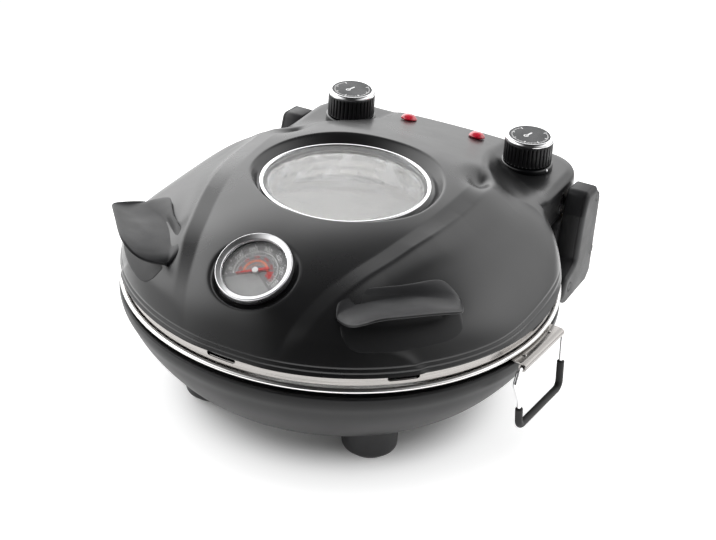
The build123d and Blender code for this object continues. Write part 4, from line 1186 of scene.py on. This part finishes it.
def inset_loop(p, d):
    """moves a closed (y, z) loop inwards by d"""
    p = np.asarray(p, float)
    a = p - np.roll(p, 1, 0)
    b = np.roll(p, -1, 0) - p
    t = a / np.maximum(np.linalg.norm(a, axis=1), 1e-9)[:, None] + b / np.maximum(np.linalg.norm(b, axis=1), 1e-9)[:, None]
    t /= np.linalg.norm(t, axis=1)[:, None]
    area2 = np.sum(p[:, 0] * np.roll(p[:, 1], -1) - np.roll(p[:, 0], -1) * p[:, 1])
    n = np.stack([-t[:, 1], t[:, 0]], -1) * (1 if area2 > 0 else -1)
    return p + n * d


def bevel_prism(loop, steps):
    """steps is a list of (x, inset); the loop is repeated at each and both ends are closed"""
    rings = [inset_loop(loop, d) if d else np.asarray(loop, float) for _, d in steps]
    n = len(loop)
    V, F = [], []
    for (x, _), r in zip(steps, rings):
        V += [(x, q[0], q[1]) for q in r]
    for j in range(len(steps) - 1):
        for i in range(n):
            i2 = (i + 1) % n
            F.append((j * n + i, j * n + i2, (j + 1) * n + i2, (j + 1) * n + i))
    F.append(tuple(range(n - 1, -1, -1)))
    F.append(tuple((len(steps) - 1) * n + i for i in range(n)))
    return np.array(V), F


def mirrored(v, f):
    return np.asarray(v) * np.array([-1.0, 1.0, 1.0]), [tuple(reversed(g)) for g in f]


loop = round_corners(ARM, 6.0, closed=True, seg=10)
steps = [(126.8, 1.6), (126.95, 0.9), (127.4, 0.4), (128.3, 0.0), (142.0, 0.0), (142.35, 0.25), (142.5, 0.7)]
av, af = bevel_prism(loop, steps)
# a rib on the inner side of each arm, under the foot of the lid
RIB = [(141.0, 78.0), (141.0, 107.6), (170.5, 107.6), (171.5, 78.0)]
rl = round_corners(RIB, 5.0, closed=True, seg=6)
gv, gf = bevel_prism(rl, [(110.0, 3.0), (110.4, 1.6), (111.6, 0.5), (113.6, 0.0), (126.4, 0.0), (127.4, 0.4)])
v, f, k = merge_parts([(av, af, 0), (*mirrored(av, af), 0), (gv, gf, 0), (*mirrored(gv, gf), 0)])
o = finish_mesh("hinge_arm_bodies", v, f, MAT["plastic"], "base", "hinge_arms")
outward(o)
sharpen(o, 40)
steps = [(142.6, 0.0), (143.2, 0.1), (143.9, 0.55), (144.5, 1.15), (145.05, 1.95), (145.5, 2.9), (145.8, 3.9), (145.95, 4.9), (146.0, 5.9)]
cv, cf = bevel_prism(loop, steps)
CS = [(181.5, 124.0), (184.0, 72.0), (136.5, 58.5)]
parts = [(cv, cf, 0), (*mirrored(cv, cf), 0)]
for cy, cz in CS:
    v, f = lathe_data([(3.3, 0.0), (4.4, 0.0), (4.5, 0.25), (4.3, 0.5), (3.5, 0.5), (3.3, 0.35)], 32)
    v = np.stack([145.5 + v[:, 2], cy + v[:, 0], cz + v[:, 1]], -1)
    parts.append((v, f, 0))
    parts.append((*mirrored(v, f), 0))
v, f, k = merge_parts(parts)
o = finish_mesh("hinge_arm_covers_moulded", v, f, MAT["plastic"], "base", "hinge_arm_covers")
outward(o)
sharpen(o, 35)
# hinge pins: a turned pin each side, chamfered, with the groove for its clip
PIN = [(0.01, 110.4), (3.3, 110.4), (3.8, 110.7), (3.8, 110.9), (3.2, 111.0), (3.2, 112.0), (3.9, 112.1), (3.97, 112.4), (3.97, 142.3),
       (0.01, 142.3)]
pv, pf = clean(*lathe_data(PIN, 48))
pv = np.stack([pv[:, 2], 180.0 + pv[:, 0], 114.0 + pv[:, 1]], -1)
v, f, k = merge_parts([(pv, pf, 0), (*mirrored(pv, pf), 0)])
o = finish_mesh("hinge_pins_turned", v, f, MAT["zinc"], "base", "hinge_pins")
outward(o)
sharpen(o, 35)
# screws: a domed head; its cross recess is two black slabs, painted shade where the hollow would be
parts = []
for cy, cz in CS:
    hv2, hf2 = lathe_data([(0.01, -8.0), (1.3, -8.0), (1.5, -7.6), (1.5, -0.6), (2.9, -0.5), (3.0, -0.2), (2.9, 0.25), (2.2, 0.5), (1.0, 0.62),
                           (0.01, 0.66)], 32)
    hv2, hf2 = clean(hv2, hf2)
    v = np.stack([145.3 + hv2[:, 2], cy + hv2[:, 0], cz + hv2[:, 1]], -1)
    parts.append((v, hf2, 0))
    parts.append((*mirrored(v, hf2), 0))
    # black slabs just proud of the head: painted shade of the cross recess
    for a in (0.6, 0.6 + math.pi / 2):
        c, s = math.cos(a), math.sin(a)
        v, f = slab([(1.7 * c - 0.22 * s, 1.7 * s + 0.22 * c), (-1.7 * c - 0.22 * s, -1.7 * s + 0.22 * c),
                     (-1.7 * c + 0.22 * s, -1.7 * s - 0.22 * c), (1.7 * c + 0.22 * s, 1.7 * s - 0.22 * c)], 0.2, 0.68)
        v = np.asarray(v, float)
        v = np.stack([145.3 + v[:, 2], cy + v[:, 0], cz + v[:, 1]], -1)
        parts.append((v, f, 1))
        parts.append((*mirrored(v, f), 1))
v, f, k = merge_parts(parts)
o = finish_mesh("hinge_cover_screw_heads", v, f, None, "base", "hinge_cover_screws", mats=[MAT["zinc"], MAT["inside"]], face_mats=k)
outward(o)
sharpen(o, 40)

# ---------------------------------------------------------------------------
# TRAY BRACKETS: sheet rolled round each bail's pivot
# ---------------------------------------------------------------------------
TT = math.radians(-5.5)


def at_tray(v, side):
    a = TT + (0.0 if side > 0 else math.pi)
    v = np.asarray(v, float)
    return np.stack([v[:, 0] * math.cos(a) - v[:, 1] * math.sin(a), v[:, 0] * math.sin(a) + v[:, 1] * math.cos(a), v[:, 2]], -1)


BU, BZ = 179.6, 92.6
outer_roll = arc(BU, BZ, 3.2, 90, 90 - 318, 34)
inner_roll = arc(BU, BZ, 1.9, 90 - 318, 90, 34)
sheet = ([(167.4, 95.2), (167.4, 95.9), (167.7, 96.2)] + [(172.0, 96.2), (176.0, 96.2), (178.0, 96.1)] + [(BU, BZ + 3.45)]
         + outer_roll[2:] + inner_roll[:-2] + [(BU, BZ + 2.2), (177.4, 95.0), (174.0, 95.0), (167.7, 95.0)])
sheet = [np.array(p) for p in sheet]
parts = []
for side in (1, -1):
    ys = [-31.0, -30.7, -20.0, 0.0, 20.0, 30.7, 31.0]
    n = len(sheet)
    V, F = [], []
    cen = np.mean(sheet, 0)
    for j, y in enumerate(ys):
        for p in sheet:
            V.append((p[0], y, p[1]))
    for j in range(len(ys) - 1):
        for i in range(n):
            i2 = (i + 1) % n
            F.append((j * n + i, (j + 1) * n + i, (j + 1) * n + i2, j * n + i2))
    F.append(tuple(range(n)))
    F.append(tuple((len(ys) - 1) * n + i for i in range(n - 1, -1, -1)))
    parts.append((at_tray(V, side), F, 0))
    for ry in (-20.0, 20.0):
        v, f = lathe_data([(0.01, 0.55), (0.9, 0.5), (1.7, 0.3), (2.1, 0.0), (2.1, -0.5), (0.01, -0.5)], 24)
        v, f = clean(v, f)
        parts.append((at_tray(v + np.array([174.8, ry, 96.2]), side), f, 0))
v, f, k = merge_parts(parts)
o = finish_mesh("tray_bracket_sheets", v, f, MAT["steel"], "base", "tray_brackets")
outward(o)
sharpen(o, 35)


def fillet_path(pts, radii, step=1.2):
    p = round_corners(pts, radii, closed=False, seg=10)
    q = [p[0]]
    for a, b in zip(p[:-1], p[1:]):
        L = np.linalg.norm(b - a)
        if L < 1e-6:
            continue
        n = max(1, int(L / step / 4))
        for i in range(1, n + 1):
            q.append(a + (b - a) * i / n)
    return np.array(q)


WP = [(BU, 12, BZ), (BU, 36.0, BZ), (BU + 0.4, 35.4, 82.0), (183.2, 33.0, 43.0), (183.2, -33.0, 43.0), (182.2, -35.0, 66.0), (180.2, -42.5, 84.5),
      (BU, -37.0, BZ), (BU, -12, BZ)]
RR = [0, 3.0, 9.0, 6.0, 6.0, 14.0, 5.0, 3.5, 0]
wire = fillet_path(WP, RR)
g0, g1, g2, g3 = (np.array(WP[i], float) for i in (2, 3, 4, 5))
gs = g1 + (g0 - g1) / np.linalg.norm(g0 - g1) * 23.0
ge = g2 + (g3 - g2) / np.linalg.norm(g3 - g2) * 17.5
gp = fillet_path([gs, g1, g2, ge], [0, 6.0, 6.0, 0])
seglen = np.concatenate([[0], np.cumsum(np.linalg.norm(np.diff(gp, axis=0), axis=1))])
tot = seglen[-1]
ss = np.unique(np.concatenate([[0, 0.12, 0.35, 0.7, 1.1], np.linspace(1.6, tot - 1.6, 90), [tot - 1.1, tot - 0.7, tot - 0.35, tot - 0.12, tot]]))
gpts = np.stack([np.interp(ss, seglen, gp[:, k]) for k in range(3)], -1)
gedge = np.minimum(ss, tot - ss)
grad = 2.9 - 0.9 * np.clip(1 - gedge / 1.1, 0, 1) ** 2
for side, nm in ((1, "right"), (-1, "left")):
    v, f = tube(wire, 1.5, 20)
    o = finish_mesh("bail_wire_bent_" + nm, at_tray(v, side), f, MAT["chrome"], "bail_" + nm, "bail_wire_" + nm)
    outward(o)
    sharpen(o, 60)
    v, f = tube(gpts, grad, 24)
    o = finish_mesh("bail_sleeve_" + nm, at_tray(v, side), f, MAT["rubber"], "bail_" + nm, "bail_grip_" + nm)
    outward(o)
    sharpen(o, 60)

# ---------------------------------------------------------------------------
# CAD pieces that stay, each with its finish
# ---------------------------------------------------------------------------
KEEP = {
    "plastic": ["cord_gland", "lamp_holders", "hinge_base_brackets", "feet", "hinge_arms", "hinge_arm_covers", "lid_handles",
                "base_bowl_x"],
    "rubber": ["foot_pads", "bail_grip_left", "bail_grip_right"],
    "chrome": ["bail_wire_left", "bail_wire_right", "collar_rivets", "knob_index_dots", "stone_tray", "window_trim_ring",
               "gauge_bezel", "knob_cap_ring_left", "knob_cap_ring_right"],
    "steel": ["tray_brackets", "lid_rim_band", "gauge_case", "gauge_probe"],
    "zinc": ["base_bottom_plate", "base_bottom_screws", "foot_screws", "handle_screws", "hinge_cover_screws", "hinge_pins",
             "hinge_retaining_clips", "gauge_nut", "lower_element_clips", "upper_element_clips", "thermostats",
             "knob_shaft_left", "knob_shaft_right"],
    "alu": ["base_reflector_pan", "lid_reflector", "window_tunnel"],
    "element": ["lower_heating_element", "upper_heating_element"],
    "ceramic": ["base_terminal_block", "thermal_cutout"],
    "bronze": ["hinge_bushes"],
    "stone": ["pizza_stone"],
    "silicone": ["window_gasket"],
    "bowl": ["base_bowl"],
    "shell": ["lid_rear_cover", "rim_collar"],
    "glass": ["window_glass"],
    "lens": ["gauge_lens"],
    "gloss": ["knob_skirts"],
    "knob": ["knob_body_left", "knob_body_right"],
    "disc": ["knob_cap_disc_left", "knob_cap_disc_right"],
    "lamp": ["lamp_lenses"],
    "dial": ["gauge_dial"],
    "red": ["gauge_pointer"],
}
for key, names in KEEP.items():
    for nm in names:
        if nm in NODES:
            ob = NODES[nm]
            ob.data.materials.clear()
            ob.data.materials.append(MAT[key])

# ---------------------------------------------------------------------------
# floor, light and camera
# ---------------------------------------------------------------------------
floor_me = bpy.data.meshes.new("floor")
FN, FR, FC = 96, 0.52, (0.0, 0.12)
fv = [(FC[0], FC[1], -0.0004)]
ff = []
for ring_r in (0.18, 0.36, FR):
    base_i = len(fv)
    for i in range(FN):
        t = 2 * math.pi * i / FN
        fv.append((FC[0] + ring_r * math.cos(t), FC[1] + ring_r * math.sin(t), -0.0004))
    for i in range(FN):
        j = (i + 1) % FN
        if base_i == 1:
            ff.append((0, base_i + i, base_i + j))
        else:
            ff.append((base_i - FN + i, base_i + i, base_i + j, base_i - FN + j))
floor_me.from_pydata(fv, [], ff)
floor = bpy.data.objects.new("floor", floor_me)
bpy.context.scene.collection.objects.link(floor)
floor_mat = bpy.data.materials.new("floor_white_painted_shadow")
floor_mat.use_nodes = True
fb = floor_mat.node_tree.nodes["Principled BSDF"]
fb.inputs["Base Color"].default_value = (0.90, 0.90, 0.90, 1)
fb.inputs["Roughness"].default_value = 0.9
fb.inputs["Specular IOR Level"].default_value = 0.0
fb.inputs["Emission Color"].default_value = (1, 1, 1, 1)
ft = floor_mat.node_tree
ftc = ft.nodes.new("ShaderNodeTexCoord")
fsub = ft.nodes.new("ShaderNodeVectorMath")
fsub.operation = "DISTANCE"
fsub.inputs[1].default_value = (0.0, -0.018, -0.0004)
# the floor's glow is nil within 98 mm of the base and reaches full strength 145 mm out: a painted contact shadow under
# the bowl
floor_glow_shadow_ramp = ft.nodes.new("ShaderNodeMapRange")
floor_glow_shadow_ramp.interpolation_type = "SMOOTHSTEP"
floor_glow_shadow_ramp.inputs["From Min"].default_value = 0.098
floor_glow_shadow_ramp.inputs["From Max"].default_value = 0.145
floor_glow_shadow_ramp.inputs["To Min"].default_value = 0.0
floor_glow_shadow_ramp.inputs["To Max"].default_value = 0.53
ft.links.new(ftc.outputs["Object"], fsub.inputs[0])
ft.links.new(fsub.outputs["Value"], floor_glow_shadow_ramp.inputs["Value"])
ft.links.new(floor_glow_shadow_ramp.outputs["Result"], fb.inputs["Emission Strength"])
floor_me.materials.append(floor_mat)

world = bpy.data.worlds.new("studio")
bpy.context.scene.world = world
world.use_nodes = True
wt = world.node_tree
for n in list(wt.nodes):
    wt.nodes.remove(n)
wo = wt.nodes.new("ShaderNodeOutputWorld")
bg = wt.nodes.new("ShaderNodeBackground")
bg_cam = wt.nodes.new("ShaderNodeBackground")
bg_cam.inputs["Color"].default_value = (1, 1, 1, 1)
bg_cam.inputs["Strength"].default_value = 1.05
mixs = wt.nodes.new("ShaderNodeMixShader")
lp = wt.nodes.new("ShaderNodeLightPath")
wt.links.new(lp.outputs["Is Camera Ray"], mixs.inputs[0])
wt.links.new(bg.outputs[0], mixs.inputs[1])
wt.links.new(bg_cam.outputs[0], mixs.inputs[2])
wt.links.new(mixs.outputs[0], wo.inputs[0])
tcw = wt.nodes.new("ShaderNodeTexCoord")


def wmath(op, a, b=None, c=None):
    n = wt.nodes.new("ShaderNodeMath")
    n.operation = op
    for k, v in enumerate((a, b, c)):
        if v is None:
            continue
        if isinstance(v, (int, float)):
            n.inputs[k].default_value = v
        else:
            wt.links.new(v, n.inputs[k])
    return n.outputs[0]


def wdot(vec):
    n = wt.nodes.new("ShaderNodeVectorMath")
    n.operation = "DOT_PRODUCT"
    wt.links.new(tcw.outputs["Generated"], n.inputs[0])
    n.inputs[1].default_value = vec
    return n.outputs["Value"]


def wramp(value, stops):
    n = wt.nodes.new("ShaderNodeValToRGB")
    n.color_ramp.interpolation = "B_SPLINE"
    e = n.color_ramp.elements
    while len(e) > 1:
        e.remove(e[0])
    e[0].position = stops[0][0]
    e[0].color = (stops[0][1],) * 3 + (1,)
    for p, v in stops[1:]:
        x = e.new(p)
        x.color = (v, v, v, 1)
    wt.links.new(value, n.inputs["Fac"])
    return n.outputs["Color"]


# bright on the left, softer at the back, softer again on the right, dark overhead and in front
flat = wt.nodes.new("ShaderNodeVectorMath")
flat.operation = "MULTIPLY"
wt.links.new(tcw.outputs["Generated"], flat.inputs[0])
flat.inputs[1].default_value = (1, 1, 0)
unit = wt.nodes.new("ShaderNodeVectorMath")
unit.operation = "NORMALIZE"
wt.links.new(flat.outputs[0], unit.inputs[0])


def toward(deg):
    """cosine of the angle round from a direction given in degrees, 0 at the rear and positive to the right"""
    n = wt.nodes.new("ShaderNodeVectorMath")
    n.operation = "DOT_PRODUCT"
    wt.links.new(unit.outputs[0], n.inputs[0])
    n.inputs[1].default_value = (math.sin(math.radians(deg)), math.cos(math.radians(deg)), 0)
    return wmath("MULTIPLY_ADD", n.outputs["Value"], 0.5, 0.5)


lobe_left = wramp(toward(-90.0), [(0.0, 0.0), (0.50, 0.0), (0.60, 0.10), (0.75, 0.42), (0.88, 0.80), (1.0, 1.0)])
lobe_back = wramp(toward(12.0), [(0.0, 0.0), (0.32, 0.0), (0.45, 0.06), (0.60, 0.25), (0.75, 0.60), (0.88, 0.92), (1.0, 1.0)])
lobe_right = wramp(toward(78.0), [(0.0, 0.0), (0.76, 0.0), (0.86, 0.30), (0.95, 0.85), (1.0, 1.0)])
el = wmath("MULTIPLY_ADD", wdot((0, 0, 1)), 0.5, 0.5)
r_el = wramp(el, [(0.0, 0.25), (0.40, 0.34), (0.50, 0.55), (0.585, 0.85), (0.67, 1.0), (0.785, 0.98), (0.835, 0.62), (0.865, 0.34), (0.90, 0.16), (0.93, 0.08),
                  (0.96, 0.05), (1.0, 0.04)])
LEFT_GAIN, BACK_GAIN, RIGHT_GAIN, FILL = 3.6, 2.0, 0.9, 0.02
tot = wmath("MULTIPLY_ADD", lobe_left, LEFT_GAIN, wmath("MULTIPLY", lobe_back, BACK_GAIN))
tot = wmath("MULTIPLY_ADD", lobe_right, RIGHT_GAIN, tot)
tot = wmath("MULTIPLY_ADD", tot, r_el, FILL)
wt.links.new(tot, bg.inputs["Strength"])


def area(name, loc, target, size, power, glossy=True, color=(1, 1, 1), size_y=None):
    d = bpy.data.lights.new(name, "AREA")
    d.energy = power
    d.color = color
    d.shape = "RECTANGLE"
    d.size = size
    d.size_y = size_y or size
    o = bpy.data.objects.new(name, d)
    bpy.context.scene.collection.objects.link(o)
    o.location = loc
    o.rotation_euler = (Vector(target) - Vector(loc)).to_track_quat("-Z", "Y").to_euler()
    o.visible_glossy = glossy
    o.visible_camera = False
    return o


area("top_soft", (0.1, 0.3, 2.6), (0, 0, 0), 3.4, 70.0, glossy=False)

cam_data = bpy.data.cameras.new("camera")
cam = bpy.data.objects.new("camera", cam_data)
bpy.context.scene.collection.objects.link(cam)
bpy.context.scene.camera = cam
AZ, EL, ROLL = math.radians(25.88), math.radians(30.19), math.radians(3.38)
d = Vector((-math.sin(AZ) * math.cos(EL), math.cos(AZ) * math.cos(EL), -math.sin(EL)))
rgt = d.cross(Vector((0, 0, 1))).normalized()
upv = rgt.cross(d)
r2 = math.cos(ROLL) * rgt + math.sin(ROLL) * upv
u2 = -math.sin(ROLL) * rgt + math.cos(ROLL) * upv
rot = Matrix((r2, u2, -d)).transposed()
cam.matrix_world = Matrix.Translation((0.48141, -0.97935, 0.72249)) @ rot.to_4x4()
cam_data.sensor_width = 36.0
cam_data.lens = 78.9
cam_data.clip_start = 0.02
cam_data.clip_end = 60.0
vs = bpy.context.scene.view_settings
vs.view_transform = "Standard"
vs.look = "None"
vs.exposure = 0.0
vs.gamma = 1.0
